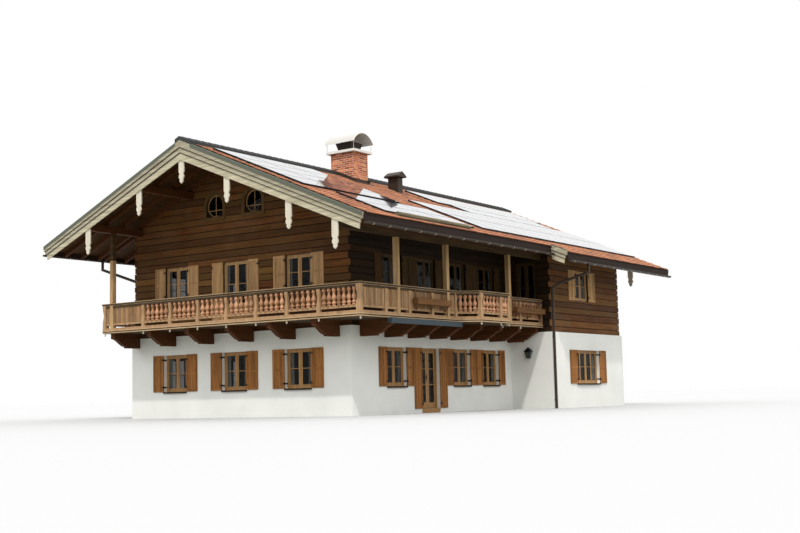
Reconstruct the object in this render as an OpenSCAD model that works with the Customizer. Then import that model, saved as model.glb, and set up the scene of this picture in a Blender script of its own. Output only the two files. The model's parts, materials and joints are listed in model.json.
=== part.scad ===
// Alpine chalet with a plastered ground storey, a log storey and a wide tiled roof.
// House coordinates: x runs to the right from the ridge, y runs back from the front verge,
// z is up from the ground. place() moves them to the centre of the base.

/* [Roof] */
// Height of the tiled surface at the ridge
ridge_h = 8930; // [8600:10:9300]
// Pitch of the roof in degrees
pitch = 23.2; // [21:0.1:25]
// Level distance from the ridge to the left eave
eave_left = 6690; // [6500:10:7200]
// Level distance from the ridge to the right eave
eave_right = 7280; // [7000:10:7600]
// Extra reach of the right eave over the rear wing
step_out = 620; // [500:10:800]
// Distance from the front verge to the place where the right eave steps out
step_from = 11270; // [10900:10:11700]
// Length of the roof from verge to verge
roof_len = 20420; // [19900:10:21500]
// Thickness of tiles and boarding, square to the slope
roof_thk = 130; // [100:5:160]
// Width of a rafter
rafter_w = 100; // [80:5:140]
// Depth of a rafter, square to the slope
rafter_h = 150; // [120:5:180]
// Largest spacing of the rafters
rafter_pitch = 950; // [800:10:1100]
// Width of a purlin
purlin_w = 200; // [160:5:240]
// Depth of a purlin
purlin_h = 240; // [180:5:280]
// Distance from the ridge to the middle purlins
mid_purlin_x = 1970; // [1700:10:2300]
// Distance from the ridge to the wall purlins
wall_purlin_x = 4470; // [4300:10:4470]
// Distance from the ridge to the eave purlin over the balcony
eave_purlin_x = 6220; // [6200:10:6240]

/* [Verges and eaves] */
// Thickness of the verge boards together
verge_thk = 90; // [60:5:100]
// Depth of each of the three verge boards, from the top
verge_depths = [230, 170, 250];
// Set-back of each lower verge board behind the one above
verge_step = 24; // [10:1:26]
// Depth of the verge boards at the eave, as a share of the depth at the ridge
verge_taper = 0.8; // [0.7:0.05:1]
// Rise of the verge boards above the tiles where the right eave steps out
step_rise = 80; // [0:5:100]
// Number of verge boards one under the other at the rear
rear_verge_rows = 1; // [1:1:3]
// Difference in height between the feet of the rear pendants and those of the front ones
rear_pendant_rise = 110; // [0:10:200]
// Thickness of the sheet cap over the verge boards
verge_cap_thk = 8; // [4:1:10]
// Depth of the sheet cap in front of the verge boards
verge_cap_h = 110; // [60:5:140]
// Width of the sheet cap on the tiles
verge_cap_w = 150; // [100:10:250]
// Width of a carved pendant board
pendant_w = 230; // [180:5:260]
// Thickness of a carved pendant board
pendant_thk = 45; // [30:5:60]
// Length of a pendant below the verge boards
pendant_drop = 760; // [500:10:850]
// Height of the carved foot of a pendant
pendant_foot = 380; // [250:10:450]
// Outer radius of a gutter
gutter_r = 75; // [60:1:90]
// Wall of gutters
gutter_wall = 4; // [3:1:6]
// Depth of the rim of a gutter below the roof boards
gutter_drop = 120; // [0:5:160]
// Outer radius of a downpipe
pipe_r = 50; // [40:1:60]
// Depth of the fascia board behind the gutter
fascia_h = 160; // [120:5:220]
// Thickness of the fascia board
fascia_thk = 30; // [20:5:40]
// Width of the ridge cap on the right slope
ridge_cap_w = 470; // [220:5:500]
// Width of the ridge cap on the left slope
ridge_cap_left = 200; // [150:5:500]
// Thickness of the ridge cap over the tiles
ridge_cap_h = 125; // [60:5:140]

/* [Walls] */
// Thickness of the plastered walls
wall_thk = 350; // [300:10:400]
// Height of the plastered walls
ground_h = 2800; // [2700:10:2900]
// Thickness of the log walls
log_thk = 180; // [160:5:200]
// Set-back of the log face behind the plaster face
log_inset = 100; // [60:5:140]
// Distance from the front verge to the plastered front
front_y = 2440; // [2300:10:2600]
// Distance from the rear verge to the plastered rear wall
rear_overhang = 2270; // [2000:10:2500]
// Level distance from the ridge to the left plastered face
wall_left = 4850; // [4850:10:4900]
// Level distance from the ridge to the terrace face
wall_right = 4950; // [4950:10:5050]
// Level distance from the ridge to the face of the rear wing
wing_right = 6700; // [6680:10:6760]
// Distance from the front verge to the front of the rear wing
return_y = 12200; // [12100:10:12400]
// Thickness of the ground slab
slab_thk = 150; // [120:10:200]
// Height of the top of the upper floor and the balcony
upper_z = 3050; // [3000:10:3100]
// Underside of the attic floor
attic_z = 5480; // [5450:10:5520]
// Thickness of the attic floor
attic_thk = 160; // [140:5:180]

/* [Windows and doors] */
// Width of a window opening
win_w = 1100; // [1000:10:1200]
// Height of the sill of a ground window
ground_sill = 900; // [800:10:950]
// Height of the head of a ground window
ground_head = 2160; // [2050:10:2200]
// Height of the sill of an upper window
upper_sill = 4050; // [3950:10:4100]
// Height of the head of the upper openings
upper_head = 5200; // [5100:10:5250]
// Centre of the first front window, from the ridge
front_first = -2700; // [-2750:10:-2650]
// Spacing of the front windows
front_pitch = 2745; // [2700:5:2800]
// Centre of the first terrace opening, from the front verge
terrace_first = 4810; // [4750:10:4900]
// Width of the balcony door in the return wall
return_door_w = 850; // [750:10:950]
// Centre of the balcony door in the return wall, from the ridge
return_door_x = 5620; // [5560:10:5700]
// Height of the head of the balcony door in the return wall
return_door_head = 5420; // [5200:10:5450]
// Spacing of the terrace openings
terrace_pitch = 1965; // [1940:5:1980]
// Centre of the wing windows, from the front verge
wing_window_y = 15050; // [14900:10:15200]
// Width of the ground window in the wing
wing_window_w = 1900; // [1700:10:2000]
// Centre of the upper window in the wing, from the front verge
wing_upper_y = 14900; // [14700:10:15200]
// Centre of the first window in the left wall, from the front verge
left_first = 4500; // [4300:10:4600]
// Spacing of the windows in the left wall
left_pitch = 2900; // [2800:10:2950]
// Number of windows in the left wall, each storey
left_n = 5; // [3:1:5]
// Depth from the wall face to the window frame
reveal = 120; // [80:5:140]
// Thickness of a window frame
frame_thk = 70; // [60:5:80]
// Width of the members of a window frame
frame_w = 75; // [60:5:90]
// Thickness of a double pane
pane_thk = 24; // [18:1:30]
// Width of a window shutter on the long sides
shutter_w = 430; // [400:5:430]
// Width of a window shutter on the front and rear
gable_shutter_w = 500; // [430:5:520]
// Width of a window shutter on the wing
wing_shutter_w = 560; // [430:5:600]
// Height of the shutters of a balcony door over the floor
door_shutter_lift = 20; // [10:5:50]
// Thickness of a shutter
shutter_thk = 40; // [30:1:45]
// Depth of a sill in front of the wall
sill_out = 60; // [30:5:80]
// Thickness of a sill
sill_thk = 50; // [30:5:60]
// Width of an attic window
attic_win_w = 760; // [560:10:800]
// Distance of the attic windows from the ridge
attic_win_x = 880; // [840:10:940]
// Height of the sill of the attic windows
attic_sill = 6990; // [6950:10:7040]
// Height of the springing of the attic arches
attic_spring = 7160; // [7100:10:7260]

/* [Terrace door] */
// Height of the terrace door head
door_head = 2160; // [2100:10:2200]
// Height of the threshold, level with the slab
sill_step = 150; // [120:10:200]
// Width of the door jambs
jamb_w = 60; // [50:5:80]
// Running gap round each door leaf
door_gap = 6; // [5:1:10]
// Gap between the two door leaves
meet_gap = 12; // [11:1:16]
// Thickness of a door leaf
leaf_thk = 45; // [40:1:50]
// Radius of a hinge pin
pin_r = 6; // [5:0.5:8]
// Running clearance of the hinge pins
pin_gap = 0.3; // [0.2:0.1:0.5]
// Wall of the hinge knuckles
knuckle_wall = 4; // [3:0.5:5]
// Length of a hinge knuckle
knuckle_h = 60; // [40:5:80]
// Width of the stiles and rails of a leaf
stile_w = 95; // [80:5:110]

/* [Balcony] */
// Distance from the front verge to the outer face of the front balcony
balcony_y = 1140; // [1100:10:1200]
// Level distance from the ridge to the left end of the balcony
balcony_left = 4900; // [4850:10:4950]
// Level distance from the ridge to the outer face of the side balcony
balcony_right = 6290; // [6290:10:6310]
// Thickness of the balcony floor
deck_thk = 90; // [60:5:110]
// Height of the hand rail over the balcony floor
rail_h = 920; // [880:10:960]
// Depth of the hand rail
rail_thk = 120; // [80:5:140]
// Width of the rails and of the rail posts
rail_w = 130; // [110:5:140]
// Height of the gap under the bottom rail
rail_gap = 180; // [120:5:200]
// Depth of the bottom rail
bottom_rail = 70; // [60:5:100]
// Height of the plank along the edge of the floor
kick_h = 90; // [60:5:110]
// Largest radius of a turned baluster
baluster_r = 77; // [50:1:80]
// Largest spacing of the balusters
baluster_pitch = 215; // [200:5:240]
// Thickness of the boarded panels
panel_thk = 40; // [25:1:50]
// Distance between rail posts
bay_w = 1270; // [1200:10:1300]
// Length of the first, boarded stretch of the front rail
first_bay = 1905; // [1800:10:2000]
// Section of the corner posts of the rail
corner_w = 150; // [140:5:160]
// Length of the turned drops under the rail posts
drop_h = 95; // [60:5:120]
// Largest radius of the drops
drop_r = 34; // [25:1:36]
// Reach of the bay over the side balcony
bay_out = 610; // [500:10:700]
// Start of the bay, from the front verge
bay_y = 6420; // [6400:10:6500]
// Length of the straight front of the bay
bay_len = 1790; // [1700:10:1900]
// Section of the tall posts
post_w = 150; // [130:5:160]
// Depth of the head beam on the tall posts
head_beam_h = 190; // [140:5:220]
// Width of the balcony beams
beam_w = 180; // [140:5:200]
// Depth of the beam at the wall
beam_root = 500; // [420:10:520]
// Spacing of the beams on the front
front_beam_pitch = 1790; // [1700:10:1850]
// Spacing of the beams on the terrace side
side_beam_pitch = 1295; // [1250:5:1350]
// Distance of the beam ends from the edge of the floor
beam_back = 110; // [100:5:200]
// Depth of the tip of a beam
beam_tip = 190; // [100:5:240]
// Distance from the left corner of the house to the middle of the first front beam
first_beam = 320; // [200:10:500]
// Distance from the rear wing to the middle of the last side beam
last_beam = 170; // [120:10:300]
// Distances from the front verge to the tall posts of the side balcony
tall_post_ys = [3130, 5940, 9960];
// Width of a flower box
box_w = 190; // [150:5:220]
// Height of a flower box
box_h = 190; // [150:5:220]
// Height of the bottom of a flower box over the balcony floor
box_z = 380; // [330:10:420]
// Thickness of the boards of a flower box
box_wall = 18; // [12:1:25]
// Thickness of the flat hangers of a flower box
hanger_thk = 6; // [4:1:10]
// Width of the flat hangers
hanger_w = 40; // [30:5:60]
// Distance from the end of a flower box to its outer hangers
hanger_inset = 150; // [100:10:300]
// Height of the struts under a flower box
strut_h = 200; // [150:10:250]
// Start and length of each flower box, from the front verge
flower_box_runs = [[3880, 1950], [10100, 2050]];
// Start of the awning case, from the front verge
awning_y = 2600; // [2200:10:2800]
// Length of the awning case
awning_len = 4000; // [3800:10:4400]
// Section of the awning case
awning_size = 160; // [120:5:180]
// Reach of the awning case past the edge of the balcony
awning_out = 100; // [60:5:110]
// Distance from the ridge to the wall lantern
lantern_x = 5760; // [5500:5:6000]
// Height of the bracket of the lantern
lantern_z = 2100; // [1900:10:2200]

/* [Chimney and roof pieces] */
// Width of the chimney across the ridge line
chimney_w = 1060; // [900:10:1100]
// Depth of the chimney along the ridge
chimney_d = 850; // [700:10:900]
// Distance from the ridge to the chimney
chimney_x = 150; // [150:10:300]
// Distance from the front verge to the chimney
chimney_y = 7650; // [7500:10:7800]
// Height of the brickwork
chimney_top = 9560; // [9400:10:9700]
// Width of the flue
flue_w = 400; // [300:10:450]
// Height of the bottom of the flue
flue_z = 500; // [300:10:900]
// Gap round the chimney where it passes floors and roof
chimney_gap = 10; // [5:1:20]
// Overhang of the slab on the chimney
slab_over = 130; // [80:5:150]
// Thickness of the chimney slab
cap_thk = 90; // [70:5:110]
// Height of the rods under the hood
hood_rod = 270; // [200:10:320]
// Width of the arched hood, along the ridge
hood_w = 1190; // [1120:10:1240]
// Rise of the arched hood
hood_rise = 360; // [330:10:400]
// Overhang of the hood past the stack, at each end
hood_over = 155; // [80:5:200]
// Height of the flue collar over the slab
collar_h = 150; // [100:10:200]
// Thickness of the hood sheet
hood_thk = 12; // [8:1:16]
// Thickness of the solar panels
solar_thk = 100; // [60:5:120]
// Long side of a solar panel
solar_long = 1650; // [1600:10:1680]
// Short side of a solar panel
solar_short = 1000; // [950:10:1020]
// Gap between solar panels
solar_gap = 20; // [10:1:40]
// Distance of the roof vent from the ridge, to its middle
vent_x = 1570; // [1500:10:1700]
// Distance from the front verge to the roof vent
vent_y = 9600; // [9400:10:9800]
// Width of the roof vent
vent_w = 460; // [380:10:500]
// Depth of the roof vent along the ridge
vent_d = 300; // [250:10:350]
// Height of the vent over the tiles, at its middle
vent_h = 570; // [500:10:650]
// Height of the gabled cap on the vent
vent_cap_h = 190; // [120:10:220]
// Overhang of the cap on the vent
vent_over = 110; // [60:5:130]
// Radius of the snow guard log
guard_r = 80; // [60:1:90]
// Start of the snow guard log, from the front verge
guard_y = 2100; // [1300:10:2400]
// Length of the snow guard log
guard_len = 4000; // [3500:10:5000]

/* [Hidden] */

slope = tan(pitch);
ridge_x = -(eave_right + step_out - eave_left) / 2;
rear_y = roof_len - rear_overhang;
deck_drop = roof_thk / cos(pitch);
rafter_drop = (roof_thk + rafter_h) / cos(pitch);
log_in = log_inset + log_thk;
purlin_y0 = verge_thk + pendant_thk;
eps = 1;
tall = 12000;
joint_gap = 0.5;

wood_dark = [0.23, 0.13, 0.08];
wood_log = [0.36, 0.22, 0.14];
wood_rail = [0.55, 0.40, 0.29];
wood_shutter = [0.50, 0.29, 0.13];
plaster = [0.93, 0.93, 0.90];
verge_grey = [0.66, 0.64, 0.58];
metal_dark = [0.20, 0.17, 0.16];

function roof_z(x) = ridge_h - slope * abs(x);
function deck_under(x) = roof_z(x) - deck_drop;
function rafter_under(x) = roof_z(x) - rafter_drop;
function purlin_top(x) = rafter_under(abs(x) + purlin_w / 2);
function row(first, step, n) = [for (i = [0:n - 1]) first + i * step];

module place() translate([ridge_x, -roof_len / 2, 0]) children();

module block(x0, x1, y0, y1, z0, z1)
    translate([x0, y0, z0]) cube([x1 - x0, y1 - y0, z1 - z0]);

// Turns an outline drawn in x and z into a plate from y0 to y1.
module plate_xz(y0, y1)
    translate([0, y1, 0]) rotate([90, 0, 0]) linear_extrude(y1 - y0) children();

// Turns an outline drawn in y and z into a plate from x0 to x1.
module plate_yz(x0, x1)
    translate([x0, 0, 0]) rotate([90, 0, 90]) linear_extrude(x1 - x0) children();

front_wins = row(front_first, front_pitch, 3);
terrace_ys = row(terrace_first, terrace_pitch, 4);
door_y = terrace_ys[1];
left_ys = row(left_first, left_pitch, left_n);

// A wall opening seen from outside: [side, centre, sill, head, width]
ground_openings = concat(
    [for (x = front_wins) ["front", x, ground_sill, ground_head, win_w]],
    [for (x = front_wins) ["rear", x, ground_sill, ground_head, win_w]],
    [for (i = [0, 2, 3]) ["terrace", terrace_ys[i], ground_sill, ground_head, win_w]],
    [["wing", wing_window_y, ground_sill, ground_head, wing_window_w]],
    [for (y = left_ys) ["left", y, ground_sill, ground_head, win_w]]);
upper_openings = concat(
    [for (i = [0:2]) ["front", front_wins[i], i == 1 ? upper_z : upper_sill, upper_head, win_w]],
    [for (x = front_wins) ["rear", x, upper_sill, upper_head, win_w]],
    [for (i = [0:3]) ["terrace", terrace_ys[i], i == 2 ? upper_z : upper_sill, upper_head, win_w]],
    [["wing", wing_upper_y, upper_sill, upper_head, win_w]],
    [["return", return_door_x, upper_z, return_door_head, return_door_w]],
    [for (y = left_ys) ["left", y, upper_sill, upper_head, win_w]]);

// Puts children, drawn with x along the wall, y into the wall and z up, on a wall face.
module on_face(side, along, inset)
    if (side == "front") translate([along, front_y + inset, 0]) children();
    else if (side == "rear") translate([along, rear_y - inset, 0]) rotate([0, 0, 180]) children();
    else if (side == "terrace") translate([wall_right - inset, along, 0]) rotate([0, 0, 90]) children();
    else if (side == "wing") translate([wing_right - inset, along, 0]) rotate([0, 0, 90]) children();
    else if (side == "return") translate([along, return_y + inset, 0]) children();
    else translate([-wall_left + inset, along, 0]) rotate([0, 0, -90]) children();

module cut_openings(list, side, inset)
    for (o = list)
        if (o[0] == side)
            on_face(side, o[1], inset)
                block(-o[4] / 2, o[4] / 2, -wall_thk, 2 * wall_thk, o[2], o[3]);

module ground_slab() color([0.6, 0.6, 0.58]) place() {
    block(-wall_left + wall_thk, wall_right - wall_thk, front_y + wall_thk, rear_y - wall_thk, 0, slab_thk);
    block(0, wing_right - wall_thk, return_y + wall_thk, rear_y - wall_thk, 0, slab_thk);
}

module front_wall() color(plaster) place() difference() {
    block(-wall_left, wall_right, front_y, front_y + wall_thk, 0, ground_h);
    cut_openings(ground_openings, "front", 0);
}

module rear_wall() color(plaster) place() difference() {
    block(-wall_left, wing_right, rear_y - wall_thk, rear_y, 0, ground_h);
    cut_openings(ground_openings, "rear", 0);
}

module left_wall() color(plaster) place() difference() {
    block(-wall_left, -wall_left + wall_thk, front_y + wall_thk, rear_y - wall_thk, 0, ground_h);
    cut_openings(ground_openings, "left", 0);
}

module terrace_wall() color(plaster) place() difference() {
    union() {
        block(wall_right - wall_thk, wall_right, front_y + wall_thk, door_y - win_w / 2, 0, ground_h);
        block(wall_right - wall_thk, wall_right, door_y + win_w / 2, return_y + wall_thk, 0, ground_h);
    }
    cut_openings(ground_openings, "terrace", 0);
}

module terrace_lintel() color(plaster) place()
    block(wall_right - wall_thk, wall_right, door_y - win_w / 2, door_y + win_w / 2, door_head, ground_h);

module return_wall() color(plaster) place()
    block(wall_right, wing_right, return_y, return_y + wall_thk, 0, ground_h);

module wing_wall() color(plaster) place() difference() {
    block(wing_right - wall_thk, wing_right, return_y + wall_thk, rear_y - wall_thk, 0, ground_h);
    cut_openings(ground_openings, "wing", 0);
}

module chimney_hole(z0, z1)
    block(chimney_x - chimney_gap, chimney_x + chimney_w + chimney_gap,
        chimney_y - chimney_gap, chimney_y + chimney_d + chimney_gap, z0, z1);

module floor_plate(z0, z1) difference() {
    union() {
        block(-wall_left + log_in, wall_right - log_in, front_y + log_in, rear_y - log_in, z0, z1);
        block(0, wing_right - log_in, return_y + log_in, rear_y - log_in, z0, z1);
    }
    chimney_hole(z0 - eps, z1 + eps);
}

module upper_floor() color([0.55, 0.42, 0.30]) place() floor_plate(ground_h, upper_z);

module attic_floor() color([0.55, 0.42, 0.30]) place() floor_plate(attic_z, attic_z + attic_thk);

purlin_xs = [-wall_purlin_x, -mid_purlin_x, 0, mid_purlin_x, wall_purlin_x, eave_purlin_x];

module purlin_bars(y0, y1)
    for (x = purlin_xs)
        block(x - purlin_w / 2, x + purlin_w / 2, y0, y1, purlin_top(x) - purlin_h, purlin_top(x));

module gable_outline(x0, x1)
    polygon([[x0, ground_h], [x1, ground_h], [x1, deck_under(x1) - joint_gap],
        [0, deck_under(0) - joint_gap], [x0, deck_under(x0) - joint_gap]]);

module arch_outline(grow)
    for (s = [-1, 1]) translate([s * attic_win_x, 0]) {
        translate([-attic_win_w / 2 - grow, attic_sill - grow])
            square([attic_win_w + 2 * grow, attic_spring - attic_sill + grow]);
        translate([0, attic_spring]) circle(attic_win_w / 2 + grow, $fn = 48);
    }

module log_gable_front() color(wood_log) place() difference() {
    plate_xz(front_y + log_inset, front_y + log_in) difference() {
        gable_outline(-wall_left + log_inset, wall_right - log_inset);
        arch_outline(0);
    }
    cut_openings(upper_openings, "front", log_inset);
    purlin_bars(0, roof_len);
}

module log_gable_rear() color(wood_log) place() difference() {
    plate_xz(rear_y - log_in, rear_y - log_inset) difference() {
        gable_outline(-wall_left + log_inset, wing_right - log_inset);
        arch_outline(0);
    }
    cut_openings(upper_openings, "rear", log_inset);
    purlin_bars(0, roof_len);
}

// A log wall along the house, its top cut to the slope under the rafters.
module side_logs(x0, x1, y0, y1)
    translate([0, y1, 0]) rotate([90, 0, 0]) linear_extrude(y1 - y0)
        polygon([[x0, ground_h], [x1, ground_h], [x1, rafter_under(x1) - joint_gap],
            [x0, rafter_under(x0) - joint_gap]]);

module log_wall_left() color(wood_log) place() difference() {
    side_logs(-wall_left + log_inset, -wall_left + log_in, front_y + log_in, rear_y - log_in);
    cut_openings(upper_openings, "left", log_inset);
}

module log_wall_terrace() color(wood_log) place() difference() {
    side_logs(wall_right - log_in, wall_right - log_inset, front_y + log_in, return_y + log_in);
    cut_openings(upper_openings, "terrace", log_inset);
}

module log_wall_wing() color(wood_log) place() difference() {
    side_logs(wing_right - log_in, wing_right - log_inset, return_y + log_in, rear_y - log_in);
    cut_openings(upper_openings, "wing", log_inset);
}

module log_wall_return() color(wood_log) place() difference() {
    plate_xz(return_y + log_inset, return_y + log_in)
        polygon([[wall_right - log_inset, ground_h], [wing_right - log_inset, ground_h],
            [wing_right - log_inset, deck_under(wing_right - log_inset) - joint_gap],
            [wall_right - log_inset, deck_under(wall_right - log_inset) - joint_gap]]);
    cut_openings(upper_openings, "return", log_inset);
    purlin_bars(0, roof_len);
}

// A fixed frame with a centre post, drawn at x along and y into the wall.
module window_frame(w, z0, z1) difference() {
    block(-w / 2, w / 2, 0, frame_thk, z0, z1);
    for (s = [-1, 1])
        translate([s * w / 4, 0, 0])
            block(-w / 4 + (s < 0 ? frame_w : frame_w / 2), w / 4 - (s > 0 ? frame_w : frame_w / 2),
                -eps, frame_thk + eps, z0 + frame_w, z1 - frame_w);
}

module window_panes(w, z0, z1)
    for (s = [-1, 1])
        translate([s * w / 4, (frame_thk - pane_thk) / 2, 0])
            block(-w / 4 + (s < 0 ? frame_w : frame_w / 2), w / 4 - (s > 0 ? frame_w : frame_w / 2),
                0, pane_thk, z0 + frame_w, z1 - frame_w);

function leaf_of(side) =
    side == "front" || side == "rear" ? gable_shutter_w : side == "wing" ? wing_shutter_w : shutter_w;

module shutter_pair(side, w, z0, z1)
    for (s = [-1, 1])
        translate([s * (w / 2 + leaf_of(side) / 2), 0, 0])
            block(-leaf_of(side) / 2, leaf_of(side) / 2, -shutter_thk, 0, z0, z1);

module ground_window_frames() color(wood_shutter) place()
    for (o = ground_openings) on_face(o[0], o[1], reveal) window_frame(o[4], o[2], o[3]);

module ground_window_glass() color([0.25, 0.32, 0.34]) place()
    for (o = ground_openings) on_face(o[0], o[1], reveal) window_panes(o[4], o[2], o[3]);

module ground_shutters() color(wood_shutter) place() {
    for (o = ground_openings) on_face(o[0], o[1], 0) shutter_pair(o[0], o[4], o[2], o[3]);
    on_face("terrace", door_y, 0) shutter_pair("terrace", win_w, sill_step, door_head);
}

module window_sills() color(wood_dark) place()
    for (o = ground_openings)
        on_face(o[0], o[1], 0) block(-o[4] / 2, o[4] / 2, -sill_out, 0, o[2] - sill_thk, o[2]);

module upper_window_frames() color(wood_shutter) place() {
    for (o = upper_openings)
        on_face(o[0], o[1], log_inset + (log_thk - frame_thk) / 2) window_frame(o[4], o[2], o[3]);
    for (y = [front_y + log_inset, rear_y - log_in] + [1, 1] * (log_thk - frame_thk) / 2)
        plate_xz(y, y + frame_thk) difference() {
            arch_outline(0);
            arch_outline(-frame_w / 2);
        }
}

module upper_window_glass() color([0.25, 0.32, 0.34]) place() {
    for (o = upper_openings)
        on_face(o[0], o[1], log_inset + (log_thk - frame_thk) / 2) window_panes(o[4], o[2], o[3]);
    for (y = [front_y + log_inset + (log_thk - pane_thk) / 2, rear_y - log_in + (log_thk - pane_thk) / 2])
        plate_xz(y, y + pane_thk) arch_outline(-frame_w / 2);
}

module upper_shutters() color([0.62, 0.45, 0.28]) place()
    for (o = upper_openings)
        if (o[0] != "return")
            on_face(o[0], o[1], log_inset)
                shutter_pair(o[0], o[4], o[2] + (o[2] == upper_z ? door_shutter_lift : 0), o[3]);

// Terrace door: threshold and jambs in the wall, two leaves that turn inward.
leaf_in = reveal + frame_thk - leaf_thk;
leaf_w = win_w / 2 - jamb_w - door_gap - meet_gap / 2;
leaf_z0 = sill_step + door_gap;
leaf_z1 = door_head - jamb_w - door_gap;
knuckle_r = pin_r + pin_gap + knuckle_wall;
hinge_x = win_w / 2 - jamb_w - door_gap / 2;
hinge_in = reveal + frame_thk + knuckle_r;
hinge_end = 200;
hinge_zs = [leaf_z0 + hinge_end, leaf_z1 - hinge_end - 2 * knuckle_h];

module terrace_door_frame() color(wood_shutter) place() {
    on_face("terrace", door_y, 0) {
        difference() {
            block(-win_w / 2, win_w / 2, reveal, reveal + frame_thk, sill_step, door_head);
            block(-win_w / 2 + jamb_w, win_w / 2 - jamb_w, reveal - eps, reveal + frame_thk + eps,
                sill_step - eps, door_head - jamb_w);
        }
        block(-win_w / 2, win_w / 2, 0, wall_thk, 0, sill_step);
        for (s = [-1, 1], z = hinge_zs)
            translate([s * hinge_x, hinge_in, z]) {
                cylinder(r = pin_r, h = 2 * knuckle_h, $fn = 32);
                mirror([s > 0 ? 0 : 1, 0, 0])
                    block(0, jamb_w / 2, -hinge_in + reveal + frame_thk, pin_r, 0, knuckle_h - pin_gap);
            }
    }
}

module door_leaf(s) {
    on_face("terrace", door_y, leaf_in)
        translate([s * (meet_gap / 2 + leaf_w / 2), 0, 0]) difference() {
            block(-leaf_w / 2, leaf_w / 2, 0, leaf_thk, leaf_z0, leaf_z1);
            block(-leaf_w / 2 + stile_w, leaf_w / 2 - stile_w, -eps, leaf_thk + eps,
                leaf_z0 + 2 * stile_w, leaf_z1 - stile_w);
        }
    on_face("terrace", door_y, 0)
        for (z = hinge_zs) translate([s * hinge_x, hinge_in, z + knuckle_h]) difference() {
            union() {
                cylinder(r = knuckle_r, h = knuckle_h, $fn = 32);
                mirror([s > 0 ? 1 : 0, 0, 0])
                    block(0, jamb_w / 2, -hinge_in + leaf_in + leaf_thk, pin_r, 0, knuckle_h);
            }
            translate([0, 0, -eps]) cylinder(r = pin_r + pin_gap, h = knuckle_h + 2 * eps, $fn = 32);
        }
}

module door_pane(s) on_face("terrace", door_y, leaf_in)
    translate([s * (meet_gap / 2 + leaf_w / 2), (leaf_thk - pane_thk) / 2, 0])
        block(-leaf_w / 2 + stile_w, leaf_w / 2 - stile_w, 0, pane_thk,
            leaf_z0 + 2 * stile_w, leaf_z1 - stile_w);

module door_leaf_front() color(wood_shutter) place() door_leaf(-1);
module door_leaf_rear() color(wood_shutter) place() door_leaf(1);
module door_glass_front() color([0.25, 0.32, 0.34]) place() door_pane(-1);
module door_glass_rear() color([0.25, 0.32, 0.34]) place() door_pane(1);

// Balcony: outline of the floor, beams, rails and posts.
deck_z = upper_z - deck_thk;
bay_end = bay_y + 2 * bay_out + bay_len;
front_in = front_y + log_inset;
side_in = wall_right - log_inset;
return_in = return_y + log_inset;
rail_setback = 5;
rail_in = rail_w / 2 + rail_setback;

module deck_outline()
    polygon([[-balcony_left, balcony_y], [balcony_right, balcony_y], [balcony_right, bay_y],
        [balcony_right + bay_out, bay_y + bay_out], [balcony_right + bay_out, bay_y + bay_out + bay_len],
        [balcony_right, bay_end], [balcony_right, return_in], [side_in, return_in],
        [side_in, front_in], [-balcony_left, front_in]]);

module balcony_deck() color(wood_rail) place()
    translate([0, 0, deck_z]) linear_extrude(deck_thk) deck_outline();

beam_reach = balcony_right - wall_right - beam_back;

// Share of the length of a beam that is straight, and share of its carving that is a square step.
beam_straight = 0.5;
beam_step = 0.15;

// Side view of a beam: u runs out from the wall, the underside ends in an S curve up to the tip.
module beam_outline(reach)
    let (flat = reach * beam_straight, notch = (beam_root - beam_tip) * beam_step)
    polygon(concat([[-log_inset, deck_z], [-log_inset, ground_h], [0, ground_h],
        [0, deck_z - beam_root], [flat, deck_z - beam_root]],
        [for (i = [0:12]) let (f = i / 12) [flat + (reach - flat) * f,
            deck_z - beam_tip - (beam_root - beam_tip - notch) * (1 + cos(180 * f)) / 2]],
        [[reach, deck_z]]));

front_beams = row(-wall_left + first_beam, front_beam_pitch, 6);
side_beams = row(return_y - last_beam - 7 * side_beam_pitch, side_beam_pitch, 8);

module balcony_beams() color(wood_dark) place() {
    for (x = front_beams)
        translate([x - beam_w / 2, front_y, 0]) rotate([90, 0, 90]) linear_extrude(beam_w)
            mirror([1, 0]) beam_outline(front_y - balcony_y - beam_back);
    for (y = side_beams)
        translate([wall_right, y + beam_w / 2, 0]) rotate([90, 0, 0]) linear_extrude(beam_w)
            beam_outline(beam_reach);
}

rail_top = upper_z + rail_h;
rail_x = balcony_right - rail_in;
rail_y = balcony_y + rail_in;
rail_left = -balcony_left + rail_in;

// The straight stretches of the balustrade, as pairs of end points.
rail_points = [[rail_left, front_in], [rail_left, rail_y], [rail_x, rail_y], [rail_x, bay_y],
    [rail_x + bay_out, bay_y + bay_out], [rail_x + bay_out, bay_end - bay_out], [rail_x, bay_end],
    [rail_x, return_in]];
last_run = len(rail_points) - 2;

function run_len(n) = norm(rail_points[n + 1] - rail_points[n]);
function run_at(n, x) = rail_points[n] + (rail_points[n + 1] - rail_points[n]) * x / run_len(n);
module along(n) let (d = rail_points[n + 1] - rail_points[n])
    translate(rail_points[n]) rotate([0, 0, atan2(d.y, d.x)]) children();

// Places of the posts along a stretch: even spacing from its start, the rest at its end.
function post_places(n) = let (len = run_len(n), first = n == 1 ? first_bay : bay_w)
    concat([0], [for (k = [0:20]) let (x = first + k * bay_w) if (x < len - 0.4 * bay_w) x], [len]);

// Half the width of a waisted post at the share f of its height; the waist is the narrowest share.
waist = 0.68;
function post_half(w, f) = w / 2 * (waist + (1 - waist) * pow(cos(180 * f), 2));

// Side view of a waisted post.
module post_outline(w, z0, z1) polygon(concat(
    [for (i = [0:10]) [post_half(w, i / 10), z0 + (z1 - z0) * i / 10]],
    [for (i = [10:-1:0]) [-post_half(w, i / 10), z0 + (z1 - z0) * i / 10]]));

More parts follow.
